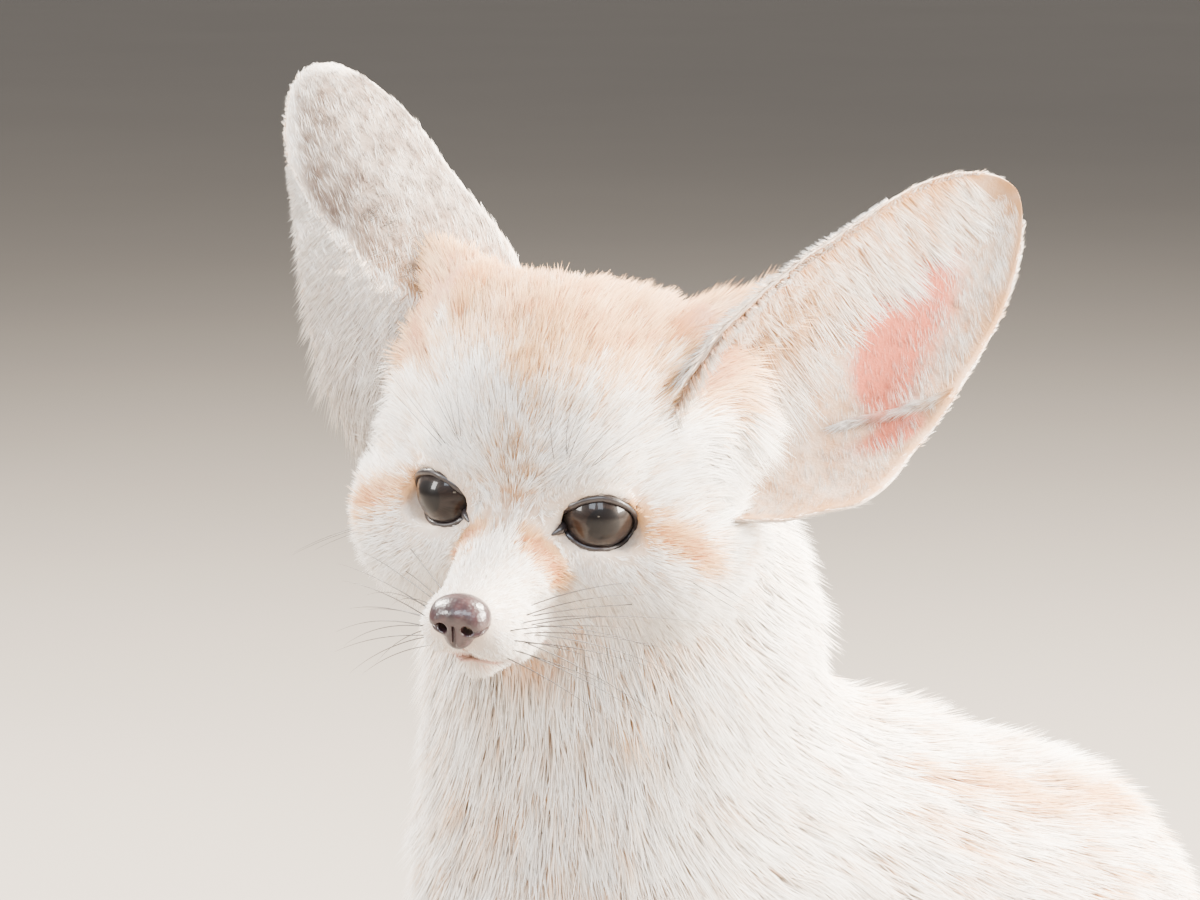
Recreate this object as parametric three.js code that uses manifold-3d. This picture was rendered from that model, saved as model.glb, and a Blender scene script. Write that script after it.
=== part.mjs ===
// A sitting fennec fox at life size, as a still museum model. Millimetres; +X is the fox's left,
// -Y the way its chest faces, +Z up. The floor is z = 0 and the origin is under the middle of its box.
import * as THREE from "three";
import { mergeVertices } from "three/addons/utils/BufferGeometryUtils.js";
import Module from "manifold-3d";

const wasm = await Module();
wasm.setup();

// Gap that two touching parts keep, across a plane and round a curved surface.
const gap = 0.35;
const shellGap = 0.5;
const sliver = 0.002;

// The head's own frame: its origin is midway between the fronts of the eyes,
// x to the fox's left, y to the back of the head, z up.
const headPlace = [30.5, -37.9, 222];
const headYaw = 42.5;
const headNoseDown = 14;
const headLean = 6;

// Eyeballs, in the head's frame.
const eyeRadius = 7.6;
const eyeCentre = [14.8, 6.7, 0];
const eyeTurnOut = 28;
const eyeSlant = 9;
const lidOpening = [7, 4.9];
const lidRadius = 0.9;

// Ears, in the head's frame, measured from a base inside the skull's coat. They mirror each other,
// but each turns on its own: the left one opens forward and the right one is swung out and back.
const earLength = 90;
const earThickness = 2.8;
const earBow = 4;
const earBase = { left: [24, 28, 3], right: [-21, 29, 5] };
const earAxis = { left: [0.62, 0.58, 0.53], right: [-0.615, 0.589, 0.523] };
const earOpens = { left: [0.42, -0.88, 0.2], right: [-0.455, 0.27, -0.84] };
const earHalfWidths = [9, 17, 21.5, 22.5, 22, 20, 17.5, 14, 11];
const earCurls = [112, 98, 80, 66, 55, 46, 38, 32, 27];
const earTipFrom = 0.8;
const earLobe = 0.16;
const earNotch = 5;
const earLean = 6;
// Extra width low on the outer edge, where the swung-out ear spreads into the crown.
const earFlare = { left: 0, right: 7 };

// Depth of the dense coat core under the tips, in the parts that carry locks.
const coreDepth = 3.6;

// Tail, along the floor round the left haunch.
const tailRoute = [
  [4, 138, 24],
  [22, 160, 17],
  [54, 163, 13.5],
  [84, 141, 13],
  [97, 100, 13],
  [95, 58, 13],
  [87, 20, 13],
  [74, -12, 11],
];
const tailCore = 13;
const tailReach = 22;
const tailLockLength = 36;
const tailRowStep = 27;

const radians = THREE.MathUtils.degToRad;
const vec = (a) => new THREE.Vector3(...a);
const mirrored = (a, side) => [a[0] * side, a[1], a[2]];

const headMatrix = new THREE.Matrix4()
  .makeTranslation(...headPlace)
  .multiply(new THREE.Matrix4().makeRotationZ(radians(headYaw)))
  .multiply(new THREE.Matrix4().makeRotationX(radians(headNoseDown)))
  .multiply(new THREE.Matrix4().makeRotationY(radians(headLean)));
const headInverse = headMatrix.clone().invert();

// Distance functions: negative inside.
function taper(from, to, r0, r1) {
  const a = vec(from);
  const run = vec(to).sub(a);
  const runSquared = run.lengthSq();
  const offset = new THREE.Vector3();
  return (p) => {
    offset.subVectors(p, a);
    const share = THREE.MathUtils.clamp(offset.dot(run) / runSquared, 0, 1);
    return offset.addScaledVector(run, -share).length() - (r0 + (r1 - r0) * share);
  };
}

function oval(centre, radii) {
  const c = vec(centre);
  const r = vec(radii);
  const q = new THREE.Vector3();
  const scaled = new THREE.Vector3();
  return (p) => {
    q.subVectors(p, c).divide(r);
    const outer = q.length();
    scaled.copy(q).divide(r);
    return outer < 1e-6 ? -Math.min(...radii) : (outer * (outer - 1)) / scaled.length();
  };
}

function blend(a, b, width) {
  const share = Math.max(width - Math.abs(a - b), 0) / width;
  return Math.min(a, b) - (share * share * width) / 4;
}

// Forms are [distance function, blend width], joined smoothly in their order.
function joined(forms) {
  return (p) => forms.reduce((d, [form, width]) => blend(d, form(p), width), 1e3);
}

function bothSides(make) {
  return [make(1), make(-1)];
}

// The head without ears, in its own frame, out to the tips of its short coat.
const skullForms = [
  [oval([0, 29, 8.5], [33, 32, 32]), 1],
  [oval([0, 14, 9], [21, 17, 17]), 8],
  [oval([0, 30, -16], [28, 27, 19]), 10],
  ...bothSides((s) => [oval([22.5 * s, 22, -12], [18.5, 22, 19]), 8]),
  ...bothSides((s) => [oval([13 * s, 8, 8.5], [9, 9, 6.5]), 4]),
  ...bothSides((s) => [oval([15 * s, 8.5, -10], [9, 10, 8]), 6]),
  ...bothSides((s) => [taper([20 * s, 27, 6], [28 * s, 34, 12], 15, 11), 8]),
  ...bothSides((s) => [oval([15 * s, 32, 22], [14, 16, 16]), 6]),
  ...bothSides((s) => [taper([16 * s, 36, 20], [35 * s, 53, 27], 14, 7), 8]),
];
const muzzleForms = [
  [taper([0, 6, -9], [0, -25, -11.5], 13, 7), 7],
  ...bothSides((s) => [oval([5.1 * s, -20.5, -15.2], [6.3, 9.5, 6.6]), 3]),
  [taper([0, 5, -21], [0, -20, -22], 11, 4.8), 4],
  ...bothSides((s) => [oval([6.4 * s, -13, -20], [3.6, 9, 5.5]), 3]),
];
const headForm = joined([...skullForms, ...muzzleForms]);

// The body, in the model's frame, out to the tips of its coat.
const neckForms = [
  [taper([0, 2, 150], [2, 1, 184], 43, 41), 1],
  [oval([2, 1, 191], [41, 41, 44]), 4],
];
const trunkForms = [
  [oval([0, 0, 125], [40, 39, 50]), 14],
  [taper([0, 30, 142], [0, 84, 112], 42, 48), 16],
  [oval([0, 56, 143], [20, 34, 23]), 14],
  [taper([0, 90, 109], [0, 114, 51], 48, 48), 14],
  [oval([0, 52, 84], [35, 44, 34]), 16],
  ...bothSides((s) => [taper([25 * s, 2, 122], [26 * s, 12, 88], 23, 16), 10]),
];
const thighForms = bothSides((s) => [
  joined([
    [oval([34 * s, 84, 54], [27, 46, 46]), 1],
    [taper([36 * s, 80, 58], [41 * s, 40, 46], 28, 19), 12],
  ]),
  12,
]);
const forelegForms = (s) => [
  [taper([26 * s, 10, 92], [21 * s, -5, 40], 16, 9.6), 4],
  [taper([21 * s, -5, 40], [20 * s, -11, 16], 9.6, 9), 4],
];
const bodyForm = joined([...neckForms, ...trunkForms, ...thighForms]);

// A paw: its pad and four toes, with the middle toes foremost.
const toeSpread = [-9, -3.2, 3.2, 9];
const toeReach = [0, 4.5, 4.5, 0];
function pawForms(s, { x, back, front, height }) {
  const toes = toeSpread.map((dx, i) => {
    const y = front + 5 - toeReach[i];
    return [taper([x * s + dx * 0.75, y + 12, height], [x * s + dx, y, 5.4], 5.2, 4.8), 1.6];
  });
  return [[taper([x * s, back, height + 1], [x * s, front + 17, height], 9.5, 9.5), 3], ...toes];
}
const forepawAt = { x: 20, back: -12, front: -40, height: 7.5 };
const hindpawAt = { x: 43, back: 34, front: 2, height: 9 };
const forepawForm = (s) => joined([...forelegForms(s), ...pawForms(s, forepawAt)]);
const hindFootForm = (s) =>
  joined([
    [taper([42 * s, 42, 42], [43 * s, 94, 18], 15, 12), 1],
    [taper([43 * s, 96, 13], [43 * s, 30, 10], 12, 10), 6],
    ...pawForms(s, hindpawAt),
  ]);

// Grid lines that run from low to high, with a fine step up to fineTo and a coarse one after it.
function lines(low, high, fine, coarse = fine, fineTo = high) {
  const found = [low];
  while (found.at(-1) < high) {
    found.push(found.at(-1) + (found.at(-1) < fineTo ? fine : coarse));
  }
  return found;
}

// The surface where a form's distance is zero, with one point in each grid cell that it crosses.
function surfaceOf(form, [xs, ys, zs], offset = 0) {
  const size = [xs.length, ys.length, zs.length];
  const at = (i, j, k) => (k * size[1] + j) * size[0] + i;
  const values = new Float64Array(size[0] * size[1] * size[2]);
  const p = new THREE.Vector3();
  const value = (q) => form(q) - offset;
  zs.forEach((z, k) =>
    ys.forEach((y, j) =>
      xs.forEach((x, i) => {
        values[at(i, j, k)] = value(p.set(x, y, z));
      }),
    ),
  );
  const steps = [
    [1, 0, 0],
    [0, 1, 0],
    [0, 0, 1],
  ];
  const points = [];
  const pointOf = new Map();
  const cellPoint = (i, j, k) => {
    const low = [i, j, k];
    const sum = new THREE.Vector3();
    let crossings = 0;
    steps.forEach((step, axis) => {
      const [u, v] = [(axis + 1) % 3, (axis + 2) % 3];
      for (const [du, dv] of [[0, 0], [1, 0], [0, 1], [1, 1]]) {
        const start = [...low];
        start[u] += du;
        start[v] += dv;
        const end = start.map((n, m) => n + step[m]);
        const a = values[at(...start)];
        const b = values[at(...end)];
        if (a < 0 === b < 0) continue;
        const share = a / (a - b);
        const from = new THREE.Vector3(xs[start[0]], ys[start[1]], zs[start[2]]);
        sum.add(from.lerp(new THREE.Vector3(xs[end[0]], ys[end[1]], zs[end[2]]), share));
        crossings += 1;
      }
    });
    const lowest = new THREE.Vector3(xs[i], ys[j], zs[k]);
    const highest = new THREE.Vector3(xs[i + 1], ys[j + 1], zs[k + 1]);
    const found = sum.divideScalar(crossings);
    for (let pass = 0; pass < 2; pass += 1) {
      found.addScaledVector(slope(value, found), -value(found)).clamp(lowest, highest);
    }
    return found;
  };
  const indexOf = (i, j, k) => {
    const key = at(i, j, k);
    if (!pointOf.has(key)) {
      pointOf.set(key, points.length / 3);
      points.push(...cellPoint(i, j, k).toArray());
    }
    return pointOf.get(key);
  };
  const faces = [];
  for (let k = 1; k < size[2] - 1; k += 1) {
    for (let j = 1; j < size[1] - 1; j += 1) {
      for (let i = 1; i < size[0] - 1; i += 1) {
        steps.forEach((step, axis) => {
          const inside = values[at(i, j, k)] < 0;
          if (inside === values[at(i + step[0], j + step[1], k + step[2])] < 0) return;
          const [u, v] = [(axis + 1) % 3, (axis + 2) % 3];
          const ring = [[-1, -1], [0, -1], [0, 0], [-1, 0]].map(([du, dv]) => {
            const cell = [i, j, k];
            cell[u] += du;
            cell[v] += dv;
            return indexOf(...cell);
          });
          if (!inside) ring.reverse();
          faces.push(ring[0], ring[1], ring[2], ring[0], ring[2], ring[3]);
        });
      }
    }
  }
  const geometry = new THREE.BufferGeometry();
  geometry.setAttribute("position", new THREE.Float32BufferAttribute(points, 3));
  geometry.setIndex(faces);
  return geometry;
}

// Which way a form's distance grows, as a unit vector.
function slope(form, p) {
  const reach = 0.2;
  const along = (axis) => {
    const ahead = p.clone().setComponent(axis, p.getComponent(axis) + reach);
    const behind = p.clone().setComponent(axis, p.getComponent(axis) - reach);
    return form(ahead) - form(behind);
  };
  return new THREE.Vector3(along(0), along(1), along(2)).normalize();
}

// The same surface with its points moved out by a distance.
function grown(geometry, form, distance) {
  const made = geometry.clone();
  const points = made.attributes.position;
  const p = new THREE.Vector3();
  for (let i = 0; i < points.count; i += 1) {
    p.fromBufferAttribute(points, i);
    p.addScaledVector(slope(form, p), distance);
    points.setXYZ(i, p.x, p.y, p.z);
  }
  return made;
}

// Closed meshes and solids.
function solid(geometry) {
  return new wasm.Manifold(
    new wasm.Mesh({
      numProp: 3,
      vertProperties: Float32Array.from(geometry.attributes.position.array),
      triVerts: Uint32Array.from(geometry.index.array),
    }),
  );
}

// A solid of one of the library's own shapes, whose seams are welded first.
function welded(geometry) {
  const bare = new THREE.BufferGeometry();
  bare.setAttribute("position", geometry.getAttribute("position"));
  if (geometry.index) bare.setIndex(geometry.index);
  return solid(mergeVertices(bare, 1e-4));
}

// The largest body of a cut solid, with the slivers that the cuts left at its edges closed up.
function largest(made) {
  const body = made.decompose().sort((a, b) => b.volume() - a.volume())[0];
  const welds = mergeVertices(bareGeometry(body), sliver);
  const corners = welds.index.array;
  const kept = [];
  for (let i = 0; i < corners.length; i += 3) {
    const [a, b, c] = corners.subarray(i, i + 3);
    if (a !== b && b !== c && c !== a) kept.push(a, b, c);
  }
  welds.setIndex(kept);
  return solid(welds).decompose().sort((a, b) => b.volume() - a.volume())[0];
}

function joinAll(pieces) {
  return pieces.reduce((whole, piece) => whole.add(piece));
}

function bareGeometry(made) {
  const mesh = made.getMesh();
  const geometry = new THREE.BufferGeometry();
  const points = new Float32Array(mesh.numVert * 3);
  for (let i = 0; i < mesh.numVert; i += 1) {
    points.set(mesh.vertProperties.subarray(i * mesh.numProp, i * mesh.numProp + 3), i * 3);
  }
  geometry.setAttribute("position", new THREE.BufferAttribute(points, 3));
  geometry.setIndex(new THREE.BufferAttribute(Uint32Array.from(mesh.triVerts), 1));
  return geometry;
}

// A closed mesh through rings of points of equal count, capped at both ends or closed on itself.
function ringMesh(rings, loops = false) {
  const sides = rings[0].length;
  const points = rings.flat().flatMap((p) => p.toArray());
  const faces = [];
  const last = loops ? rings.length : rings.length - 1;
  for (let i = 0; i < last; i += 1) {
    const next = (i + 1) % rings.length;
    for (let j = 0; j < sides; j += 1) {
      const [a, b] = [i * sides + j, i * sides + ((j + 1) % sides)];
      const [c, d] = [next * sides + j, next * sides + ((j + 1) % sides)];
      faces.push(a, b, d, a, d, c);
    }
  }
  if (!loops) {
    const end = (rings.length - 1) * sides;
    for (let j = 1; j < sides - 1; j += 1) {
      faces.push(0, j + 1, j, end, end + j, end + j + 1);
    }
  }
  const geometry = new THREE.BufferGeometry();
  geometry.setAttribute("position", new THREE.Float32BufferAttribute(points, 3));
  geometry.setIndex(faces);
  const made = solid(geometry);
  return made.volume() < 0 ? solid(flipped(geometry)) : made;
}

function flipped(geometry) {
  const index = [...geometry.index.array];
  for (let i = 0; i < index.length; i += 3) [index[i + 1], index[i + 2]] = [index[i + 2], index[i + 1]];
  return geometry.clone().setIndex(index);
}

function ballAt(centre, radii, across = 20, down = 14) {
  const geometry = new THREE.SphereGeometry(1, across, down);
  geometry.scale(...radii).translate(...centre);
  return welded(geometry);
}

function boxAt(low, high) {
  const size = high.map((h, i) => h - low[i]);
  const geometry = new THREE.BoxGeometry(...size);
  return welded(geometry.translate(...low.map((l, i) => l + size[i] / 2)));
}

// A piece made in the head's frame, moved to the model's.
function inWorld(made) {
  return solid(bareGeometry(made).applyMatrix4(headMatrix));
}

// Head

// The frame of one eye: side is 1 for the fox's left.
function eyeFrame(side) {
  const turn = radians(eyeTurnOut);
  const ahead = new THREE.Vector3(Math.sin(turn) * side, -Math.cos(turn), 0.06).normalize();
  const outward = new THREE.Vector3(Math.cos(turn) * side, Math.sin(turn), 0);
  const up = new THREE.Vector3().crossVectors(outward, ahead).multiplyScalar(-side);
  if (up.z < 0) up.negate();
  const slant = radians(eyeSlant);
  const long = outward.clone().multiplyScalar(Math.cos(slant)).addScaledVector(up, Math.sin(slant));
  const high = up.clone().multiplyScalar(Math.cos(slant)).addScaledVector(outward, -Math.sin(slant));
  return { centre: vec(mirrored(eyeCentre, side)), ahead, long, high };
}

// Points round the almond of the lids, at a distance from the eye's centre and grown by a margin.
function lidLine(side, distance, margin, count = 14) {
  const { centre, ahead, long, high } = eyeFrame(side);
  return Array.from({ length: count }, (_, i) => {
    const angle = (2 * Math.PI * i) / count;
    const inner = Math.cos(angle) < 0 ? 1.14 : 1;
    const u = (lidOpening[0] + margin) * Math.cos(angle) * inner;
    const v = (lidOpening[1] + margin) * Math.sin(angle) * (Math.cos(angle) < -0.6 ? 0.8 : 1);
    const depth = Math.sqrt(Math.max(distance ** 2 - u * u - v * v, 4));
    return centre.clone().addScaledVector(long, u).addScaledVector(high, v).addScaledVector(ahead, depth);
  });
}

function lidRing(side) {
  const { centre } = eyeFrame(side);
  const line = lidLine(side, eyeRadius + 0.9, 0.5);
  const middle = line.reduce((sum, p) => sum.add(p), new THREE.Vector3()).divideScalar(line.length);
  const rings = line.map((p) => {
    const out = p.clone().sub(middle).normalize();
    const ahead = p.clone().sub(centre).normalize();
    return Array.from({ length: 5 }, (_, i) => {
      const angle = (2 * Math.PI * i) / 5;
      return p
        .clone()
        .addScaledVector(out, lidRadius * 1.5 * Math.cos(angle))
        .addScaledVector(ahead, lidRadius * Math.sin(angle));
    });
  });
  return ringMesh(rings, true);
}

function eyeOpening(side) {
  const { ahead } = eyeFrame(side);
  const near = lidLine(side, eyeRadius, -0.4);
  const inner = near.map((p) => p.clone().addScaledVector(ahead, -4));
  const outer = near.map((p) => p.clone().addScaledVector(ahead, 12));
  return ringMesh([inner, outer]);
}

// The mouth's line runs back from under the nose, then down behind the jaw.
const mouthGap = 0.7;
const mouthLine = [
  [-44, -17],
  [-30, -17.6],
  [-23, -20.9],
  [-17, -23],
  [-6, -24],
  [2, -29],
  [7, -60],
];
function mouthCut(width) {
  const outline = new THREE.Shape();
  outline.moveTo(mouthLine[0][0], mouthLine[0][1] + width / 2);
  mouthLine.slice(1).forEach(([y, z]) => outline.lineTo(y + width / 2, z + width / 2));
  [...mouthLine].reverse().forEach(([y, z]) => outline.lineTo(y - width / 2, z - width / 2));
  const span = 60;
  const geometry = new THREE.ExtrudeGeometry(outline, { depth: span, bevelEnabled: false });
  const toHead = new THREE.Matrix4().makeBasis(
    new THREE.Vector3(0, 1, 0),
    new THREE.Vector3(0, 0, 1),
    new THREE.Vector3(1, 0, 0),
  );
  return welded(geometry.applyMatrix4(toHead).translate(-span / 2, 0, 0));
}

// Grid lines over the head, closest round the eyes and the muzzle.
const headGrid = [
  [...lines(-54, -24, 7.5), ...lines(-18, 18, 4.5), ...lines(24, 54, 7.5)],
  lines(-39, 74, 4, 8, 4),
  [...lines(-51, -30, 7), ...lines(-25, 15, 4.4), ...lines(22, 50, 7)],
];
const eyeballs = bothSides((s) => ballAt(mirrored(eyeCentre, s), Array(3).fill(eyeRadius), 16, 10));
const sockets = bothSides((s) => ballAt(mirrored(eyeCentre, s), Array(3).fill(eyeRadius + gap), 16, 10));
// The nose leather: its pad and the wings beside the nostrils.
const noseCentre = [0, -30.6, -9.4];
const noseRadii = [5.4, 4.4, 4.6];
const wingCentre = [3.4, -30.4, -10.2];
const wingRadii = [2.7, 3.9, 3.1];

// The whole nose, with its two nostrils and the groove between them.
function noseSolid() {
  const wing = (s) => ballAt(mirrored(wingCentre, s), wingRadii, 8, 6);
  const nostril = (s) => {
    const rings = [0, 1].map((share) =>
      Array.from({ length: 7 }, (_, i) => {
        const angle = (2 * Math.PI * i) / 7;
        const radius = 0.8 + 0.7 * share;
        return new THREE.Vector3(
          s * (2 + 1.1 * share) + radius * 1.25 * Math.cos(angle),
          -31.2 - 5 * share,
          -10 + radius * Math.sin(angle),
        );
      }),
    );
    return ringMesh(rings);
  };
  const groove = boxAt([-0.35, -42, -18], [0.35, -34.2, -10.5]);
  return joinAll([ballAt(noseCentre, noseRadii, 12, 8), ...bothSides(wing)])
    .subtract(joinAll(bothSides(nostril)))
    .subtract(groove);
}

function headParts() {
  const surface = surfaceOf(headForm, headGrid);
  const plain = solid(surface);
  const shell = solid(grown(surface, headForm, shellGap));
  const nose = noseSolid();
  const noseBed = joinAll([
    ballAt(noseCentre, noseRadii.map((r) => r + gap), 12, 8),
    ...bothSides((s) => ballAt(mirrored(wingCentre, s), wingRadii.map((r) => r + gap), 8, 6)),
  ]);
  let flesh = plain.subtract(joinAll(bothSides(eyeOpening)));
  flesh = flesh.add(joinAll(bothSides(lidRing))).subtract(joinAll(sockets)).subtract(noseBed);
  const split = flesh.subtract(mouthCut(mouthGap)).decompose();
  const ordered = split.sort((a, b) => b.volume() - a.volume());
  return { head: ordered[0], jaw: ordered[1], nose: largest(nose), shell };
}

// Ears

// A value between the entries of a list, for a share from 0 to 1 along it.
function between(list, share) {
  const place = Math.min(share, 0.99999) * (list.length - 1);
  const step = Math.floor(place);
  return THREE.MathUtils.lerp(list[step], list[step + 1], place - step);
}

// One ear's sheet: along from base (0) to tip (1), across from the inner edge (-1) to the outer (1).
function earSheet(side) {
  const name = side > 0 ? "left" : "right";
  const axis = vec(earAxis[name]).normalize();
  const opens = vec(earOpens[name]);
  opens.addScaledVector(axis, -opens.dot(axis)).normalize();
  const outward = new THREE.Vector3().crossVectors(axis, opens).multiplyScalar(side);
  const base = vec(earBase[name]);
  return (along, across, height) => {
    const lobe = across > 0 ? earLobe * across ** 2 * Math.exp(-(((along - 0.28) / 0.1) ** 2)) : 0;
    const curl = radians(between(earCurls, along));
    const past = Math.max(along - earTipFrom, 0) / (1 - earTipFrom);
    const halfWidth = Math.max(between(earHalfWidths, along) * Math.sqrt(1 - past * past), 0.3);
    const radius = halfWidth / Math.sin(Math.min(curl, Math.PI / 2));
    const angle = across * curl * (1 + lobe);
    const level = height * (1 - 0.5 * across ** 4);
    const lean = -earLean * along * along;
    const spread = THREE.MathUtils.smoothstep(0.75 - along, 0, 0.3);
    const flare = earFlare[name] * spread * Math.max(across, 0) ** 2;
    const wide = earBow * Math.sin(Math.PI * along) + flare;
    return base
      .clone()
      .addScaledVector(axis, earLength * along - earNotch * across ** 2 * Math.max(1 - along * 3, 0))
      .addScaledVector(outward, wide + (radius - level) * Math.sin(angle))
      .addScaledVector(opens, lean + radius * 0.8 - (radius - level) * Math.cos(angle));
  };
}

// Rows of points along an ear, closer at its rounded tip, and the strips across it.
const earRows = [0, 0.12, 0.23, 0.35, 0.48, 0.61, 0.73, 0.83, 0.91, 0.965, 0.992, 1];
const earColumns = 8;
function earSolid(side) {
  const sheet = earSheet(side);
  const half = earThickness / 2;
  const rings = earRows.map((along) => {
    const row = (height, turn) =>
      Array.from({ length: earColumns + 1 }, (_, j) => {
        const across = (2 * j) / earColumns - 1;
        return sheet(along, turn * across, height);
      });
    return [...row(half, 1), ...row(-half, -1)];
  });
  return ringMesh(rings);
}

// Body

// Moves a point onto a form's surface, less a depth.
function settled(form, point, depth) {
  const p = point.clone();
  for (let pass = 0; pass < 6; pass += 1) {
    p.addScaledVector(slope(form, p), -(form(p) + depth));
  }
  return p;
}

// A flat tapered lock through three points, each with the way out of the coat there.
// Widths of a lock at its root, middle and tip, as shares of its full width.
const lockWidths = [0.8, 1, 0.14];
function lock(path, outs, width, thick) {
  const rings = path.map((middle, i) => {
    const ahead = path[Math.min(i + 1, 2)].clone().sub(path[Math.max(i - 1, 0)]).normalize();
    const side = new THREE.Vector3().crossVectors(outs[i], ahead).normalize();
    const half = (width / 2) * lockWidths[i];
    const deep = thick * (i < 2 ? 1 : 0.3);
    const section = [
      [half, -deep / 2],
      [0, deep / 2],
      [-half, -deep / 2],
    ];
    return section.map(([a, b]) => middle.clone().addScaledVector(side, a).addScaledVector(outs[i], b));
  });
  return ringMesh(rings);
}

// A steady random source, so that the coat is the same on each build.
let seed = 7;
function chance(low = 0, high = 1) {
  seed = (seed * 48271) % 2147483647;
  return low + ((high - low) * seed) / 2147483647;
}

// The body's surface, the shell that its neighbours are cut by, and the core under the locks.
const bodyGrid = [lines(-88, 88, 11), lines(-64, 185, 11), lines(-16, 270, 11)];
const floorCut = boxAt([-400, -400, -200], [400, 400, 0]);
const bodySurface = surfaceOf(bodyForm, bodyGrid);
const bodySolid = solid(bodySurface).subtract(floorCut);
const bodyShell = solid(grown(bodySurface, bodyForm, shellGap));
const bodyCore = solid(surfaceOf(bodyForm, bodyGrid, -coreDepth));

// The slanted plane between neck and trunk, and the upright one between trunk and rump.
const neckNormal = vec([0, -0.6, 0.8]);
const neckLevel = 121;
const rumpAt = 68;
const thighInner = 21;
const thighFront = [12, 66];
const thighRise = 15;

function above(margin) {
  return (made) => made.trimByPlane(neckNormal.toArray(), neckLevel + margin);
}

// The wedge that holds one thigh: beyond an upright plane and under one that rises to the back.
function thighWedge(side, margin) {
  const size = [120, 220, 160];
  const geometry = new THREE.BoxGeometry(...size);
  geometry.translate(side * (size[0] / 2 + thighInner - margin), size[1] / 2 - margin, margin - size[2] / 2);
  geometry.rotateX(radians(thighRise)).translate(0, ...thighFront);
  return welded(geometry);
}

// Locks of the ruff and bib, in rows that go down from the cheeks over the front and the sides.
const ruffRows = [
  { z: 182, count: 10, spread: 180, length: 27 },
  { z: 161, count: 7, spread: 95, length: 28 },
  { z: 141, count: 5, spread: 60, length: 27 },
];
const ruffDepths = [coreDepth + 2.5, 0.8, 0];
function ruffLocks() {
  return ruffRows.flatMap(({ z, count, spread, length }, row) =>
    Array.from({ length: count }, (_, i) => {
      const share = (i + (row % 2 ? 0.5 : 0.1)) / count;
      const angle = radians((share * 2 - 1) * spread + chance(-3, 3) + 8);
      const guess = new THREE.Vector3(60 * Math.sin(angle), 4 - 60 * Math.cos(angle), z + chance(-3, 3));
      const root = settled(bodyForm, guess, 0);
      const lie = new THREE.Vector3(chance(-0.15, 0.15), 0.1, -1).multiplyScalar(length * chance(0.9, 1.1));
      const path = ruffDepths.map((depth, step) =>
        settled(bodyForm, root.clone().addScaledVector(lie, step / 2), depth),
      );
      return lock(path, path.map((p) => slope(bodyForm, p)), 19, 3.4);
    }),
  );
}

// Tail

const tailCurve = new THREE.CatmullRomCurve3(tailRoute.map(vec));
const tailLength = tailCurve.getLength();
const tailCuts = [0, 0.34, 0.67, 1];
const floorUp = new THREE.Vector3(0, 0, 1);

function tailFrame(share) {
  const centre = tailCurve.getPointAt(share);
  const ahead = tailCurve.getTangentAt(share);
  const side = new THREE.Vector3().crossVectors(floorUp, ahead).normalize();
  const up = new THREE.Vector3().crossVectors(ahead, side).normalize();
  return { centre, ahead, side, up };
}

function tailCoreRadius(share) {
  const root = THREE.MathUtils.smoothstep(share, -0.1, 0.25);
  const tip = 1 - THREE.MathUtils.smoothstep(share, 0.78, 1.03);
  return tailCore * (0.75 + 0.25 * root) * (0.45 + 0.55 * tip);
}

// One length of the tail's core, between two shares of the route.
function tailCorePiece(from, to) {
  const steps = 6;
  const sides = 12;
  const rings = Array.from({ length: steps + 1 }, (_, i) => {
    const share = THREE.MathUtils.lerp(from, to, i / steps);
    const { centre, side, up } = tailFrame(share);
    const radius = tailCoreRadius(share);
    return Array.from({ length: sides }, (_, j) => {
      const angle = (2 * Math.PI * j) / sides;
      return centre
        .clone()
        .addScaledVector(side, radius * Math.cos(angle))
        .addScaledVector(up, (radius + 0.6) * Math.sin(angle));
    });
  });
  return ringMesh(rings);
}

// Locks of the brush, in staggered rows over its top and sides; they close in past the tip.
function tailLocks(from, to) {
  const rows = Math.round(((to - from) * tailLength) / tailRowStep);
  const perRow = 4;
  return Array.from({ length: rows * perRow }, (_, n) => {
    const row = Math.floor(n / perRow);
    const place = ((n % perRow) + (row % 2 ? 0.25 : 0.75)) / perRow;
    const angle = radians(-28 + 236 * place + chance(-6, 6));
    const share = THREE.MathUtils.lerp(from, to, (row + 0.35) / rows);
    const length = tailLockLength * chance(0.9, 1.15);
    const spots = [0, 0.5, 1].map((step) => {
      const at = share + (step * length) / tailLength;
      const frame = tailFrame(Math.min(at, 1));
      const out = frame.side.clone().multiplyScalar(Math.cos(angle));
      out.addScaledVector(frame.up, Math.sin(angle));
      const closing = 1 - 0.75 * THREE.MathUtils.smoothstep(at, 0.86, 1.14);
      const reach = [tailCoreRadius(share) - 2, tailReach - 1.5, tailReach][step * 2] * (step ? closing : 1);
      const middle = frame.centre
        .clone()
        .addScaledVector(out, reach)
        .addScaledVector(frame.ahead, Math.max(at - 1, 0) * tailLength);
      return { middle, out };
    });
    return lock(spots.map((s) => s.middle), spots.map((s) => s.out), 19, 3.8);
  });
}

function cutAcross(made, share, margin, keepAfter) {
  const { centre, ahead } = tailFrame(share);
  const normal = keepAfter ? ahead.clone() : ahead.clone().negate();
  return made.trimByPlane(normal.toArray(), normal.dot(centre) + margin);
}

// All parts by name

const parts = {};
const head = headParts();
parts.head = inWorld(head.head);
parts.jaw = inWorld(head.jaw);
parts.nose = inWorld(head.nose);
const headShell = inWorld(head.shell);
for (const side of [1, -1]) {
  const name = side > 0 ? "left" : "right";
  parts["eye_" + name] = inWorld(eyeballs[side > 0 ? 0 : 1]);
  parts["ear_" + name] = inWorld(largest(earSolid(side).subtract(head.shell)));
}

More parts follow.
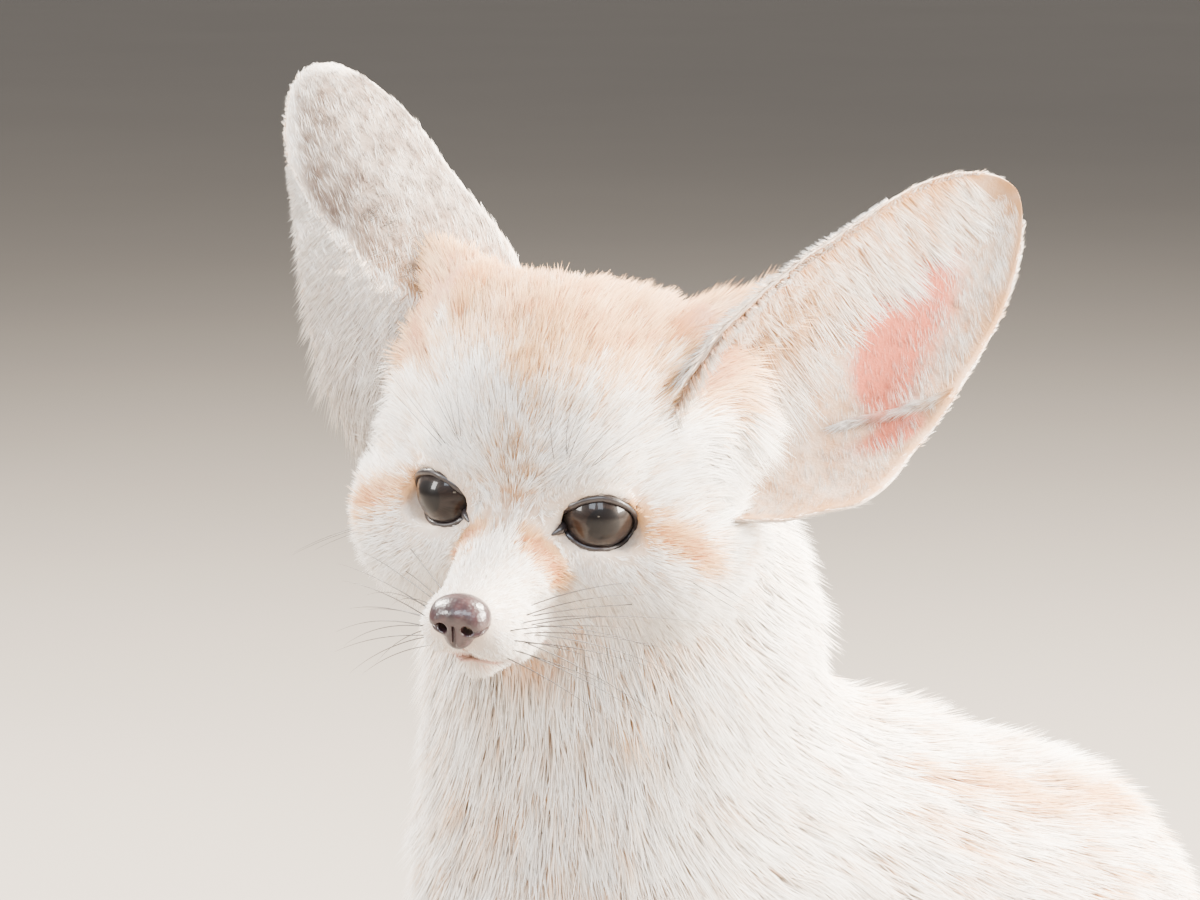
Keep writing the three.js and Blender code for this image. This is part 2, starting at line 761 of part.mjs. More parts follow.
// The left legs, which are mirrored for the right.
const legLevels = (top) => [...lines(-9, 18, 4.2), ...lines(28, top, 11)];
const legs = {
  foreleg: surfaceOf(forepawForm(1), [lines(2, 58, 4.2), lines(-56, 44, 5), legLevels(128)]),
  hind_foot: surfaceOf(hindFootForm(1), [lines(16, 72, 4.2), lines(-14, 130, 5, 11, 34), legLevels(78)]),
};

function legSolid(kind, side) {
  const whole = side > 0 ? legs[kind] : flipped(legs[kind]).scale(-1, 1, 1);
  return largest(solid(whole).subtract(bodyShell).subtract(floorCut));
}

const belowNeck = (made) => made.trimByPlane(neckNormal.clone().negate().toArray(), -neckLevel);
const thighRoom = joinAll(bothSides((s) => thighWedge(s, gap)));
const trunk = belowNeck(bodySolid.subtract(headShell)).subtract(thighRoom);
const neckWithRuff = joinAll([above(gap)(bodyCore), ...ruffLocks()]);
parts.torso = largest(trunk.trimByPlane([0, -1, 0], -rumpAt));
parts.rump = largest(trunk.trimByPlane([0, 1, 0], rumpAt + gap));
parts.neck = largest(neckWithRuff.subtract(headShell).subtract(belowNeck(bodyShell)));
for (const side of [1, -1]) {
  const name = side > 0 ? "left" : "right";
  parts["thigh_" + name] = largest(bodySolid.intersect(thighWedge(side, 0)));
  parts["foreleg_" + name] = legSolid("foreleg", side);
  parts["hind_foot_" + name] = legSolid("hind_foot", side);
}
// The three lengths of the tail, with the later ones cut back by the gap.
const tailParts = ["tail_base", "tail_middle", "tail_tip"];
const tailWhole = tailParts.map((name, i) => {
  const ends = [tailCuts[i], tailCuts[i + 1]];
  return joinAll([tailCorePiece(...ends), ...tailLocks(...ends)]);
});
tailParts.forEach((name, i) => {
  let made = tailWhole[i].subtract(bodyShell).subtract(floorCut);
  if (i > 0) made = cutAcross(made, tailCuts[i], gap, true);
  parts[name] = largest(made);
});

// Colours of the bare parts; the rest is coat.
const coatColour = 0xf0e4d4;
const colours = {
  nose: 0x6f5658,
  eye_left: 0x2a201c,
  eye_right: 0x2a201c,
  tail_tip: 0x3a2c26,
};

// The box of the whole fox, whose bottom centre becomes the origin.
const whole = new THREE.Box3();
for (const made of Object.values(parts)) {
  const { min, max } = made.boundingBox();
  whole.expandByPoint(vec(min)).expandByPoint(vec(max));
}
const centre = whole.getCenter(new THREE.Vector3());

const fox = new THREE.Group();
for (const [name, made] of Object.entries(parts)) {
  const material = new THREE.MeshStandardMaterial({ color: colours[name] ?? coatColour, roughness: 0.9 });
  const geometry = bareGeometry(made).translate(-centre.x, -centre.y, -whole.min.z);
  geometry.computeVertexNormals();
  const mesh = new THREE.Mesh(geometry, material);
  mesh.name = name;
  fox.add(mesh);
}

export default fox;
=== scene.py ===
import math
import bpy
import numpy as np
from mathutils import Matrix, Vector


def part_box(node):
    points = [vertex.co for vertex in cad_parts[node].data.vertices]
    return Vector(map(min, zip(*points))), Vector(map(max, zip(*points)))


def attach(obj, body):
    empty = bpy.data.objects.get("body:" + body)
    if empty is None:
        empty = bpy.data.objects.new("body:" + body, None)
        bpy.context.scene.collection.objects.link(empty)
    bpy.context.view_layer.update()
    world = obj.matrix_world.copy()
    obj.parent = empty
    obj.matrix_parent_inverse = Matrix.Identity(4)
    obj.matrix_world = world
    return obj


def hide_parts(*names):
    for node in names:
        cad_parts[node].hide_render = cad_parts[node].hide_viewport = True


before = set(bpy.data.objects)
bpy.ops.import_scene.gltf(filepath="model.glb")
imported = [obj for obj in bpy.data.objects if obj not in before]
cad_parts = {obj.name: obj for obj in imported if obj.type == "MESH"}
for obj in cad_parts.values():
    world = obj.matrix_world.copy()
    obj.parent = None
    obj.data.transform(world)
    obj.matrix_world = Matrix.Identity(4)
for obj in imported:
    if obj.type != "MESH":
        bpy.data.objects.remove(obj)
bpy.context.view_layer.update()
random = np.random.default_rng(41)

# The fox's own places are in millimetres, as in the CAD source: x to its left, y to its tail, z up.
mm = 0.001
headPlace = np.array([30.5, -37.9, 222.0])
headAngles = {"turn": 42.5, "noseDown": 14, "lean": 6}
eye = {
    "radius": 7.6, "centre": (14.8, 6.7, 0), "turnOut": 28, "slant": -1,
    "opening": (6.9, 5.2), "square": 2.1, "drop": 0.5, "fall": 0.17,
}


def turned(angle, axis):
    return np.array(Matrix.Rotation(math.radians(angle), 3, axis))


headTurn = turned(headAngles["turn"], "Z") @ turned(headAngles["noseDown"], "X")
headTurn = headTurn @ turned(headAngles["lean"], "Y")


def toHead(p):
    return (p - headPlace) @ headTurn


def fromHead(q):
    return np.asarray(q, float) @ headTurn.T + headPlace


eyeLow, eyeHigh = (np.array(corner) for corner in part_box("eye_left"))
shift = (eyeLow + eyeHigh) / 2 - fromHead(eye["centre"]) * mm


def toModel(p):
    return np.asarray(p, float) * mm + shift


# Smooth forms: each takes points and gives their distance from its surface, negative inside.
def unit(v):
    return v / np.maximum(np.linalg.norm(v, axis=-1, keepdims=True), 1e-9)


def smooth(low, high, x):
    t = np.clip((x - low) / (high - low), 0, 1)
    return t * t * (3 - 2 * t)


def mix(a, b, share):
    return a + (b - a) * share


def taper(start, end, r0, r1):
    a, b = np.array(start, float), np.array(end, float)
    run = b - a

    def form(p):
        offset = p - a
        share = np.clip(offset @ run / (run @ run), 0, 1)
        return np.linalg.norm(offset - share[:, None] * run, axis=1) - (r0 + (r1 - r0) * share)
    return form


def oval(centre, radii):
    c, r = np.array(centre, float), np.array(radii, float)

    def form(p):
        q = (p - c) / r
        outer = np.linalg.norm(q, axis=1)
        return outer * (outer - 1) / np.maximum(np.linalg.norm(q / r, axis=1), 1e-6)
    return form


def blend(a, b, width):
    share = np.maximum(width - np.abs(a - b), 0) / width
    return np.minimum(a, b) - share * share * width / 4


def joined(forms):
    def form(p):
        d = np.full(len(p), 1e3)
        for part, width in forms:
            d = blend(d, part(p), width)
        return d
    return form


def pair(make):
    return [make(1), make(-1)]


skull = [
    (oval((0, 29, 8.5), (33, 32, 32)), 1),
    (oval((0, 14, 9), (21, 17, 17)), 8),
    (oval((0, 30, -16), (28, 27, 19)), 10),
    *pair(lambda s: (oval((22.5 * s, 22, -12), (18.5, 22, 19)), 8)),
    *pair(lambda s: (oval((13 * s, 8, 8.5), (9, 9, 6.5)), 4)),
    *pair(lambda s: (oval((15 * s, 8.5, -10), (9, 10, 8)), 6)),
    *pair(lambda s: (taper((20 * s, 27, 6), (28 * s, 34, 12), 15, 11), 8)),
    *pair(lambda s: (oval((15 * s, 32, 22), (14, 16, 16)), 6)),
    *pair(lambda s: (taper((16 * s, 36, 20), (35 * s, 53, 27), 14, 7), 8)),
]
muzzle = [
    (taper((0, 6, -9), (0, -25, -11.5), 13, 7), 7),
    *pair(lambda s: (oval((5.1 * s, -20.5, -15.2), (6.3, 9.5, 6.6)), 3)),
    (taper((0, 5, -21), (0, -20, -22), 11, 4.8), 4),
    *pair(lambda s: (oval((6.4 * s, -13, -20), (3.6, 9, 5.5)), 3)),
]
headForm = joined(skull + muzzle)
trunk = [
    (taper((0, 2, 150), (2, 1, 184), 43, 41), 1),
    (oval((2, 1, 191), (41, 41, 44)), 4),
    (oval((0, 0, 125), (40, 39, 50)), 14),
    (taper((0, 30, 142), (0, 84, 112), 42, 48), 16),
    (oval((0, 56, 143), (20, 34, 23)), 14),
    (taper((0, 90, 109), (0, 114, 51), 48, 48), 14),
    (oval((0, 52, 84), (35, 44, 34)), 16),
    *pair(lambda s: (taper((25 * s, 2, 122), (26 * s, 12, 88), 23, 16), 10)),
    *pair(lambda s: (joined([
        (oval((34 * s, 84, 54), (27, 46, 46)), 1),
        (taper((36 * s, 80, 58), (41 * s, 40, 46), 28, 19), 12),
    ]), 12)),
]
bodyForm = joined(trunk)
toeSpread = (-9, -3.2, 3.2, 9)
toeReach = (0, 4.5, 4.5, 0)
forepaw = {"x": 20, "back": -12, "front": -40, "height": 7.5}
hindpaw = {"x": 43, "back": 34, "front": 2, "height": 9}


def pawForms(s, paw):
    toes = []
    for dx, reach in zip(toeSpread, toeReach):
        x, y = paw["x"] * s, paw["front"] + 5 - reach
        toes.append((taper((x + dx * 0.75, y + 12, paw["height"]), (x + dx, y, 5.4), 5.2, 4.8), 1.6))
    heel = (paw["x"] * s, paw["back"], paw["height"] + 1)
    pad = taper(heel, (paw["x"] * s, paw["front"] + 17, paw["height"]), 9.5, 9.5)
    return [(pad, 3), *toes]


foreForm = joined([part for s in (1, -1) for part in [
    (taper((26 * s, 10, 92), (21 * s, -5, 40), 16, 9.6), 4),
    (taper((21 * s, -5, 40), (20 * s, -11, 16), 9.6, 9), 4),
    *pawForms(s, forepaw)]])
hindForm = joined([part for s in (1, -1) for part in [
    (taper((42 * s, 42, 42), (43 * s, 94, 18), 15, 12), 1),
    (taper((43 * s, 96, 13), (43 * s, 30, 10), 12, 10), 6),
    *pawForms(s, hindpaw)]])

# The tail's route on the floor, and the bone and flesh inside its brush.
tail = {
    "route": [(4, 138, 24), (22, 160, 17), (54, 163, 13.5), (84, 141, 13), (97, 100, 13), (95, 58, 13),
              (87, 20, 13), (74, -12, 11)],
    "flesh": 8,
}


def curveThrough(points, count):
    p = np.array(points, float)
    p = np.vstack([2 * p[0] - p[1], p, 2 * p[-1] - p[-2]])
    out = []
    for i in range(1, len(p) - 2):
        for t in np.arange(0, 1, 0.05):
            a, b, c, d = p[i - 1:i + 3]
            out.append(0.5 * (2 * b + (c - a) * t + (2 * a - 5 * b + 4 * c - d) * t**2
                              + (3 * b - a - 3 * c + d) * t**3))
    out.append(p[-2])
    out = np.array(out)
    far = np.concatenate([[0], np.cumsum(np.linalg.norm(np.diff(out, axis=0), axis=1))])
    even = np.linspace(0, far[-1], count)
    return np.stack([np.interp(even, far, out[:, k]) for k in range(3)], 1)


tailLine = curveThrough(tail["route"], 120)
tailAhead = unit(np.gradient(tailLine, axis=0))


def tailPlace(p):
    # How far along the tail each point is, how far off its middle, and the way its hair lies there.
    best = np.full(len(p), 1e9)
    index = np.zeros(len(p), int)
    for i in range(0, len(tailLine), 2):
        d = np.linalg.norm(p - tailLine[i], axis=1)
        index = np.where(d < best, i, index)
        best = np.minimum(best, d)
    return index / (len(tailLine) - 1), best, tailAhead[index]


def tailRadius(i):
    return tail["flesh"] * (1 - 0.55 * smooth(0.7, 1, np.array(i / 119)))


tailForm = joined([(taper(tailLine[i], tailLine[i + 10], tailRadius(i), tailRadius(i + 10)), 3)
                   for i in range(0, 109, 10)])

# Depth of the skin under the tips of the coat.
noseTip = np.array([0, -33, -10.5])
coatDepth = {"face": 0.5, "perMm": 0.027, "crown": 2.2, "body": 4.4, "foreleg": 1.6, "hindFoot": 1.4}


def eyeAxes(side):
    turn = math.radians(eye["turnOut"])
    ahead = unit(np.array([math.sin(turn) * side, -math.cos(turn), 0.06]))
    outward = np.array([math.cos(turn) * side, math.sin(turn), 0])
    up = np.cross(outward, ahead) * -side
    up = up if up[2] > 0 else -up
    slant = math.radians(eye["slant"])
    return {"centre": np.array([eye["centre"][0] * side, *eye["centre"][1:]]), "ahead": ahead,
            "long": outward * math.cos(slant) + up * math.sin(slant),
            "high": up * math.cos(slant) - outward * math.sin(slant)}


def eyeCoords(q, side):
    axes = eyeAxes(side)
    offset = q - axes["centre"]
    return offset @ axes["long"], offset @ axes["high"], offset @ axes["ahead"]


def almond(u, v):
    wide, high = eye["opening"]
    power = eye["square"]
    v = v + eye["drop"] + eye["fall"] * np.maximum(u, 0)
    return ((np.abs(u / wide) ** power + np.abs(v / high) ** power) ** (1 / power) - 1) * high


mouth = {"y": (-31, -28.7, -23, -17, -9, -3), "z": (-17.5, -18.7, -20.9, -23.2, -25, -24.6), "crease": 0.5}


def mouthGap(q):
    # Distance from the line where the lips meet, ahead of its corners.
    level = np.interp(q[:, 1], mouth["y"], mouth["z"])
    past = np.maximum(q[:, 1] - mouth["y"][-1], 0)
    return np.hypot(q[:, 2] - level, past)


def skinForm(p):
    q = toHead(p)
    fromNose = np.linalg.norm(q - noseTip, axis=1)
    head = headForm(q) + coatDepth["face"] + coatDepth["perMm"] * fromNose
    head = head + coatDepth["crown"] * smooth(22, 32, q[:, 2]) * smooth(24, 17, np.abs(q[:, 0] - 2))
    for side in (1, -1):
        u, v, w = eyeCoords(q, side)
        hole = np.maximum(almond(u, v) - 0.8, -w)
        head = np.maximum(head, -hole)
        # The rounded edge of flesh that carries the lids.
        ring = np.abs(almond(u, v) - 1.8) - 1.4
        ball = np.sqrt(u * u + v * v + w * w) - eye["radius"] - 1.1
        head = np.where(w > 0, np.minimum(head, np.maximum(ring, ball)), head)
    head = head + mouth["crease"] * np.exp(-(mouthGap(q) / 0.7) ** 2)
    d = blend(head, bodyForm(p) + coatDepth["body"], 8)
    d = blend(d, foreForm(p) + coatDepth["foreleg"], 5)
    d = blend(d, hindForm(p) + coatDepth["hindFoot"], 5)
    d = blend(d, tailForm(p), 8)
    return np.maximum(d, 0.4 - p[:, 2])


def slopes(form, p, reach=0.3):
    steps = np.eye(3) * reach
    return unit(np.stack([form(p + s) - form(p - s) for s in steps], 1))


# A closed surface where a form's distance is zero: one point in each grid cell that it crosses.
def surfaceOf(form, xs, ys, zs, passes=2):
    lines = (np.asarray(xs), np.asarray(ys), np.asarray(zs))
    shape = tuple(len(line) for line in lines)
    grid = np.stack(np.meshgrid(*lines, indexing="ij"), -1).reshape(-1, 3)
    parts = np.array_split(grid, max(1, len(grid) // 200000))
    values = np.concatenate([form(part) for part in parts]).reshape(shape)
    cells = tuple(n - 1 for n in shape)
    total = np.zeros((int(np.prod(cells)), 3))
    count = np.zeros(int(np.prod(cells)))
    rings = []
    for axis in range(3):
        u, v = (axis + 1) % 3, (axis + 2) % 3
        low = [slice(1, -1)] * 3
        low[axis] = slice(0, -1)
        high = list(low)
        high[axis] = slice(1, None)
        start = np.argwhere((values[tuple(low)] < 0) != (values[tuple(high)] < 0))
        start[:, u] += 1
        start[:, v] += 1
        end = start.copy()
        end[:, axis] += 1
        a, b = values[tuple(start.T)], values[tuple(end.T)]
        pa = np.stack([lines[k][start[:, k]] for k in range(3)], 1)
        pb = np.stack([lines[k][end[:, k]] for k in range(3)], 1)
        crossing = pa + (pb - pa) * (a / (a - b))[:, None]
        ring = []
        for du, dv in ((-1, -1), (0, -1), (0, 0), (-1, 0)):
            cell = start.copy()
            cell[:, u] += du
            cell[:, v] += dv
            flat = np.ravel_multi_index(tuple(cell.T), cells)
            count += np.bincount(flat, minlength=len(count))
            for k in range(3):
                total[:, k] += np.bincount(flat, crossing[:, k], minlength=len(count))
            ring.append(flat)
        ring = np.stack(ring, 1)
        ring[a > 0] = ring[a > 0][:, ::-1]
        rings.append(ring)
    rings = np.vstack(rings)
    used, faces = np.unique(rings, return_inverse=True)
    points = total[used] / count[used][:, None]
    for _ in range(passes):
        points = points - slopes(form, points) * np.clip(form(points), -1, 1)[:, None] * 0.9
    return points, faces.reshape(-1, 4)


def meshObject(name, points, faces, smoothShade=True):
    mesh = bpy.data.meshes.new(name)
    faces = np.asarray(faces)
    sides = faces.shape[1]
    mesh.vertices.add(len(points))
    mesh.vertices.foreach_set("co", np.ascontiguousarray(points, np.float32).ravel())
    mesh.loops.add(faces.size)
    mesh.loops.foreach_set("vertex_index", faces.astype(np.int32).ravel())
    mesh.polygons.add(len(faces))
    mesh.polygons.foreach_set("loop_start", np.arange(0, faces.size, sides, dtype=np.int32))
    mesh.update(calc_edges=True)
    mesh.validate()
    mesh.polygons.foreach_set("use_smooth", np.full(len(mesh.polygons), smoothShade))
    piece = bpy.data.objects.new(name, mesh)
    bpy.context.scene.collection.objects.link(piece)
    return piece


def giveVector(piece, name, values):
    data = piece.data.attributes.new(name, "FLOAT_VECTOR", "POINT")
    data.data.foreach_set("vector", np.ascontiguousarray(values, np.float32).ravel())


# Ears: the same sheets as in the CAD, finer and thinner.
ear = {
    "length": 90, "bow": 4, "flare": {1: 0, -1: 7}, "lobe": 0.16, "fold": 1.5, "tipFrom": 0.8, "thick": 1.7,
    "base": {1: (24, 28, 3), -1: (-21, 29, 5)},
    "axis": {1: (0.62, 0.58, 0.53), -1: (-0.615, 0.589, 0.523)},
    "opens": {1: (0.42, -0.88, 0.2), -1: (-0.455, 0.27, -0.84)},
    "halfWidths": (9, 17, 21.5, 22.5, 22, 20, 17.5, 14, 11),
    "curls": (112, 98, 80, 66, 55, 46, 38, 32, 27),
}


def foldLine(across):
    # The fold inside the ear that stands over the pocket at its outer edge.
    return 0.35 + 0.44 * (across - 0.45)


def stripLine(along):
    # The middle of the thin brown hair inside the ear.
    return np.interp(along, (0.05, 0.2, 0.27, 0.36, 0.42, 0.55), (-0.6, -0.4, -0.51, -0.58, -0.61, -0.72))


def fringeLine(along):
    # Where the white fringe meets the velvet on the ear's back.
    return np.interp(along, (0, 0.3, 0.38, 0.52, 0.65, 0.8), (-0.1, -0.15, -0.36, -0.61, -0.86, -1.05))


def earPoint(side, along, across, height):
    along, across, height = np.broadcast_arrays(*(np.asarray(v, float) for v in (along, across, height)))
    axis = unit(np.array(ear["axis"][side]))
    opens = np.array(ear["opens"][side])
    opens = unit(opens - (opens @ axis) * axis)
    outward = np.cross(axis, opens) * side
    places = np.linspace(0, 1, len(ear["curls"]))
    lobe = np.where(across > 0, ear["lobe"] * across**2 * np.exp(-((along - 0.28) / 0.1) ** 2), 0)
    curl = np.radians(np.interp(along, places, ear["curls"]))
    past = np.maximum(along - ear["tipFrom"], 0) / (1 - ear["tipFrom"])
    halfWidth = np.interp(along, places, ear["halfWidths"]) * np.sqrt(np.maximum(1 - past**2, 0))
    halfWidth = np.maximum(halfWidth, 0.3)
    radius = halfWidth / np.sin(np.minimum(curl, math.pi / 2))
    angle = across * curl * (1 + lobe)
    past = along - foldLine(across)
    fold = ear["fold"] * smooth(0, 0.02, past) * smooth(0.26, 0.04, past) * smooth(0.3, 0.6, across)
    level = (height + fold * (height > 0)) * (1 - 0.5 * across**4)
    up = ear["length"] * along - 5 * across**2 * np.maximum(1 - along * 3, 0)
    flare = ear["flare"][side] * smooth(0.75, 0.45, along) * np.maximum(across, 0) ** 2
    wide = ear["bow"] * np.sin(math.pi * along) + flare + (radius - level) * np.sin(angle)
    deep = -6 * along**2 + radius * 0.8 - (radius - level) * np.cos(angle)
    q = axis * up[..., None] + outward * wide[..., None] + opens * deep[..., None]
    return fromHead(np.array(ear["base"][side]) + q)


def earSheet(side, rows=56, columns=36):
    tip = 0.8 + 0.2 * np.sin(np.linspace(0.06, 1, 16) * math.pi / 2)
    alongs = np.concatenate([np.linspace(0.02, 0.8, rows - len(tip)), tip])
    acrosses = np.linspace(-1, 1, columns)
    a, c = np.meshgrid(alongs, acrosses, indexing="ij")
    half = ear["thick"] / 2
    front, back = earPoint(side, a, c, half), earPoint(side, a, c, -half)
    points = np.concatenate([front.reshape(-1, 3), back.reshape(-1, 3)])
    number = np.arange(len(a) * columns).reshape(len(a), columns)
    other = number + number.size
    quads = []

    def strip(p, q):
        quads.append(np.stack([p[:-1], p[1:], q[1:], q[:-1]], 1))
    for i in range(len(a) - 1):
        strip(number[i], number[i + 1])
        strip(other[i + 1], other[i])
    strip(other[0], number[0])
    strip(number[-1], other[-1])
    strip(number[:, 0], other[:, 0])
    strip(other[:, -1], number[:, -1])
    faces = np.vstack(quads)
    if side < 0:
        faces = faces[:, ::-1]
    inner = np.concatenate([np.ones(number.size), np.zeros(number.size)])
    marks = np.stack([np.tile(a.ravel(), 2), np.tile(c.ravel(), 2), inner], 1)
    return points, faces, marks


# Markings. A patch runs from one place on the head to another, on both sides.
# After its two places come its reach and its strength.
facePatches = {
    "sand": [((5.6, -9, -1), (12, -4, -12), 3.2, 1.2), ((24.5, 4.4, 1.7), (36, 7.5, -8.5), 2.8, 0.7),
             ((37, 10, -9), (39, 18, -14), 8, 0.26), ((24.5, 25, 33), (26, 30, 32.5), 4.6, 0.75),
             ((15.7, 5, 25.5), (15.7, 12, 30.5), 2.2, 0.5), ((0, -4, 8), (0, 4, 28), 6, 0.22),
             ((25, 12, 21), (33.5, 36, 26.5), 2.6, 0.8)],
    "white": [((12, -2, 11), (19, 0, 12), 4.5, 0.85), ((0, -27, -5), (0, -12, -1), 4.5, 0.95),
              ((14, -1, -11), (30, 7, -17), 5, 0.9), ((8, -20, -14), (10, -8, -20), 6.5, 1),
              ((23, 17, 28.5), (27, 20, 28), 3, 0.9), ((35, 20, 8), (38, 32, 17), 6.5, 0.85)],
    "dark": [((0, -4, 3), (0, -3, 13), 4.2, 0.3), ((9.5, -4, -1.5), (6, -6, 3.5), 2.2, 0.5),
             ((22.6, 8.6, 20.3), (31, 24, 21.8), 2.4, 0.5), ((8, 2, 20), (10, 10, 29), 5, 0.14)],
}
# Streaks on the left side of the back, in the same way.
backStreaks = [((36, 46, 158), (38.6, 66, 148), 3.2, 0.95), ((38, 46, 156), (43, 53, 142), 1.8, 0.7),
               ((35, 102, 145), (45, 89, 135), 2.6, 0.6), ((41, 15, 160), (43, 20, 159.5), 3, 0.5),
               ((36, 28, 167), (39, 32, 166.5), 3.2, 0.45), ((28, 76, 156), (20, 112, 151), 6, 0.45)]


def patch(q, start, end, reach, strength):
    return strength * np.exp(-(taper(start, end, 0, 0)(q) / reach) ** 2)


def bothSides(q):
    # Every point's place on the left half, so that one patch marks both halves.
    return np.stack([np.abs(q[:, 0]), q[:, 1], q[:, 2]], 1)


def near(q, place, radii):
    return np.exp(-np.sum(((q - np.array(place)) / np.array(radii)) ** 2, axis=1))


def wave(p, scale, turn):
    # A slow, smooth wander over the coat, so that no marking has a ruled edge.
    k = p * scale
    total = np.sin(k[:, 0] * 1.3 + turn + np.sin(k[:, 1] * 1.7 + turn))
    total = total + np.sin(k[:, 1] * 1.1 + k[:, 2] * 1.9 + turn * 2)
    return (total + np.sin(k[:, 2] * 1.5 - k[:, 0] * 0.7 + turn * 3)) / 3


def headness(p, q):
    return smooth(-5, 5, bodyForm(p) - headForm(q))


def markings(p, earMarks=None):
    q = toHead(p)
    mirrored = bothSides(q)
    onHead = headness(p, q)
    drift = wave(p, 0.09, 1.0)
    crown = smooth(16, 31, q[:, 2] * 0.8 + q[:, 1] * 0.5 + drift * 3)
    sand = 0.15 + 0.62 * crown + sum(patch(mirrored, *mark) for mark in facePatches["sand"])
    sand *= 1 - 0.9 * smooth(-10, -20, q[:, 2]) * smooth(26, 12, q[:, 1])
    for mark in facePatches["white"]:
        sand *= 1 - patch(mirrored, *mark)
    dark = sum(patch(mirrored, *mark) for mark in facePatches["dark"])
    backness = smooth(0.0, 0.8, slopes(bodyForm, p)[:, 2] + 0.12 * drift) * smooth(14, 60, p[:, 1])
    streaks = smooth(0.25, 0.9, wave(p * np.array([1, 0.45, 0.45]), 0.3, 4.0) + 0.4 * wave(p, 0.7, 2.0))
    # The cream on the chest front is partly its own colour and partly painted warm sunlight.
    chest = smooth(20, -20, p[:, 1]) * smooth(60, 110, p[:, 2])
    bodySand = 0.09 + 0.12 * chest + (0.12 + 0.4 * streaks) * backness + 0.1 * smooth(30, 80, p[:, 1])
    bodySand += sum(patch(p, *mark) for mark in backStreaks)
    # The legs are pale.
    bodySand *= 1 - 0.8 * smooth(60, 20, p[:, 2]) * smooth(60, 20, p[:, 1])
    along, off, _ = tailPlace(p)
    onTail = smooth(30, 22, off) * smooth(0.06, 0.14, along)
    bodySand = mix(bodySand, 0.5, onTail)
    gland = np.exp(-((along - 0.16) / 0.05) ** 2)
    bodyDark = onTail * (smooth(0.78, 0.88, along) + 0.4 * gland)
    sand = mix(bodySand, sand, onHead)
    dark = mix(bodyDark, dark, onHead)
    pink = 0.5 * np.exp(-(mouthGap(q) / 1.1) ** 2) * onHead
    if earMarks is not None:
        a, c, inner = earMarks.T
        inside = inner > 0.5
        hair = inner > 1.5
        rim = np.clip(smooth(0.8, 0.97, np.abs(c)) + smooth(0.92, 0.99, a), 0, 1)
        base = smooth(0.6, 0.15, a)
        white = smooth(0.05, -0.06, c - fringeLine(a))
        velvet = (1 - white) * (1 - rim)
        brown = np.exp(-((c - stripLine(a)) / 0.13) ** 2) * smooth(0.6, 0.4, a)
        under = smooth(0.15, -0.25, c) * smooth(0.9, 0.6, a) * (1 - rim) * (1 - hair)
        middle = np.interp(a, (0.42, 0.48, 0.6, 0.75), (0.5, 0.34, 0.15, 0.04))
        hollow = np.exp(-((c - middle) / np.where(c > middle, 0.42, 0.25)) ** 2)
        hollow = hollow * smooth(0.38, 0.47, a) * smooth(0.88, 0.68, a)
        pocket = np.exp(-((a - foldLine(c) + 0.07) / 0.05) ** 2 - ((c - 0.78) / 0.16) ** 2)
        # Pink in the hollow and the pocket: partly the ear's own pink skin, partly painted glow of light
        # shining through the ear.
        pinkSkinAndGlow = np.clip(1.15 * hollow + pocket - 0.3 * rim, 0, 1) * np.where(hair, 0.6, 1)
        backSand = (0.14 + 0.45 * base + 0.06 * drift) * velvet
        sand = np.where(inside, 0.26 + 0.1 * rim + 0.5 * brown + 0.25 * under, backSand)
        # The ear backs are darkened to grey: painted shade over the velvet's own tan, a little less near the
        # base.
        backPaintedShade = (0.62 + 0.04 * drift) * velvet * (1 - 0.35 * base)
        dark = np.where(inside, 0.5 * brown + 0.25 * under, backPaintedShade)
        pink = np.where(inside, np.clip(0.12 + 0.15 * under + pinkSkinAndGlow, 0, 1), 0.0)
    return np.stack([np.clip(sand, 0, 1.2), np.clip(dark, 0, 1), np.clip(pink, 0, 1)], 1)


# The skin: one surface from head to tail, finest on the head, with the ears in it.
print("making the skin")
skinGrid = {"fine": 1.45, "coarse": 3.2}


def gridLine(low, fineLow, fineHigh, high):
    return np.concatenate([np.arange(low, fineLow, skinGrid["coarse"]),
                           np.arange(fineLow, fineHigh, skinGrid["fine"]),
                           np.arange(fineHigh, high + skinGrid["coarse"], skinGrid["coarse"])])


skinPoints, skinQuads = surfaceOf(skinForm, gridLine(-74, -26, 58, 112), gridLine(-66, -64, 4, 172),
                                  gridLine(-4, 192, 270, 274))
earSheets = {side: earSheet(side) for side in (1, -1)}
allPoints, allQuads, allMarks = [skinPoints], [skinQuads], [markings(skinPoints)]
for points, faces, marks in earSheets.values():
    allQuads.append(faces + sum(len(p) for p in allPoints))
    allPoints.append(points)
    allMarks.append(markings(points, marks))
skin = meshObject("skin", toModel(np.vstack(allPoints)), np.vstack(allQuads))
giveVector(skin, "marks", np.vstack(allMarks))
giveVector(skin, "root", toModel(np.vstack(allPoints)))
# The skin is coloured like the hairs close to their roots, with their painted shade of the coat's depth.
giveVector(skin, "strand", np.tile((0.12, 0.5, 0.0), (len(skin.data.vertices), 1)))
print("skin faces", len(skin.data.polygons))


# The coat: solid tapered hairs and tufts, gathered in small clumps along the lie of the fur.
# The long hair before each ear sweeps outward and down over the opening.
earLock = ((35, 20, 10), (38, 33, 20), 7, 1)


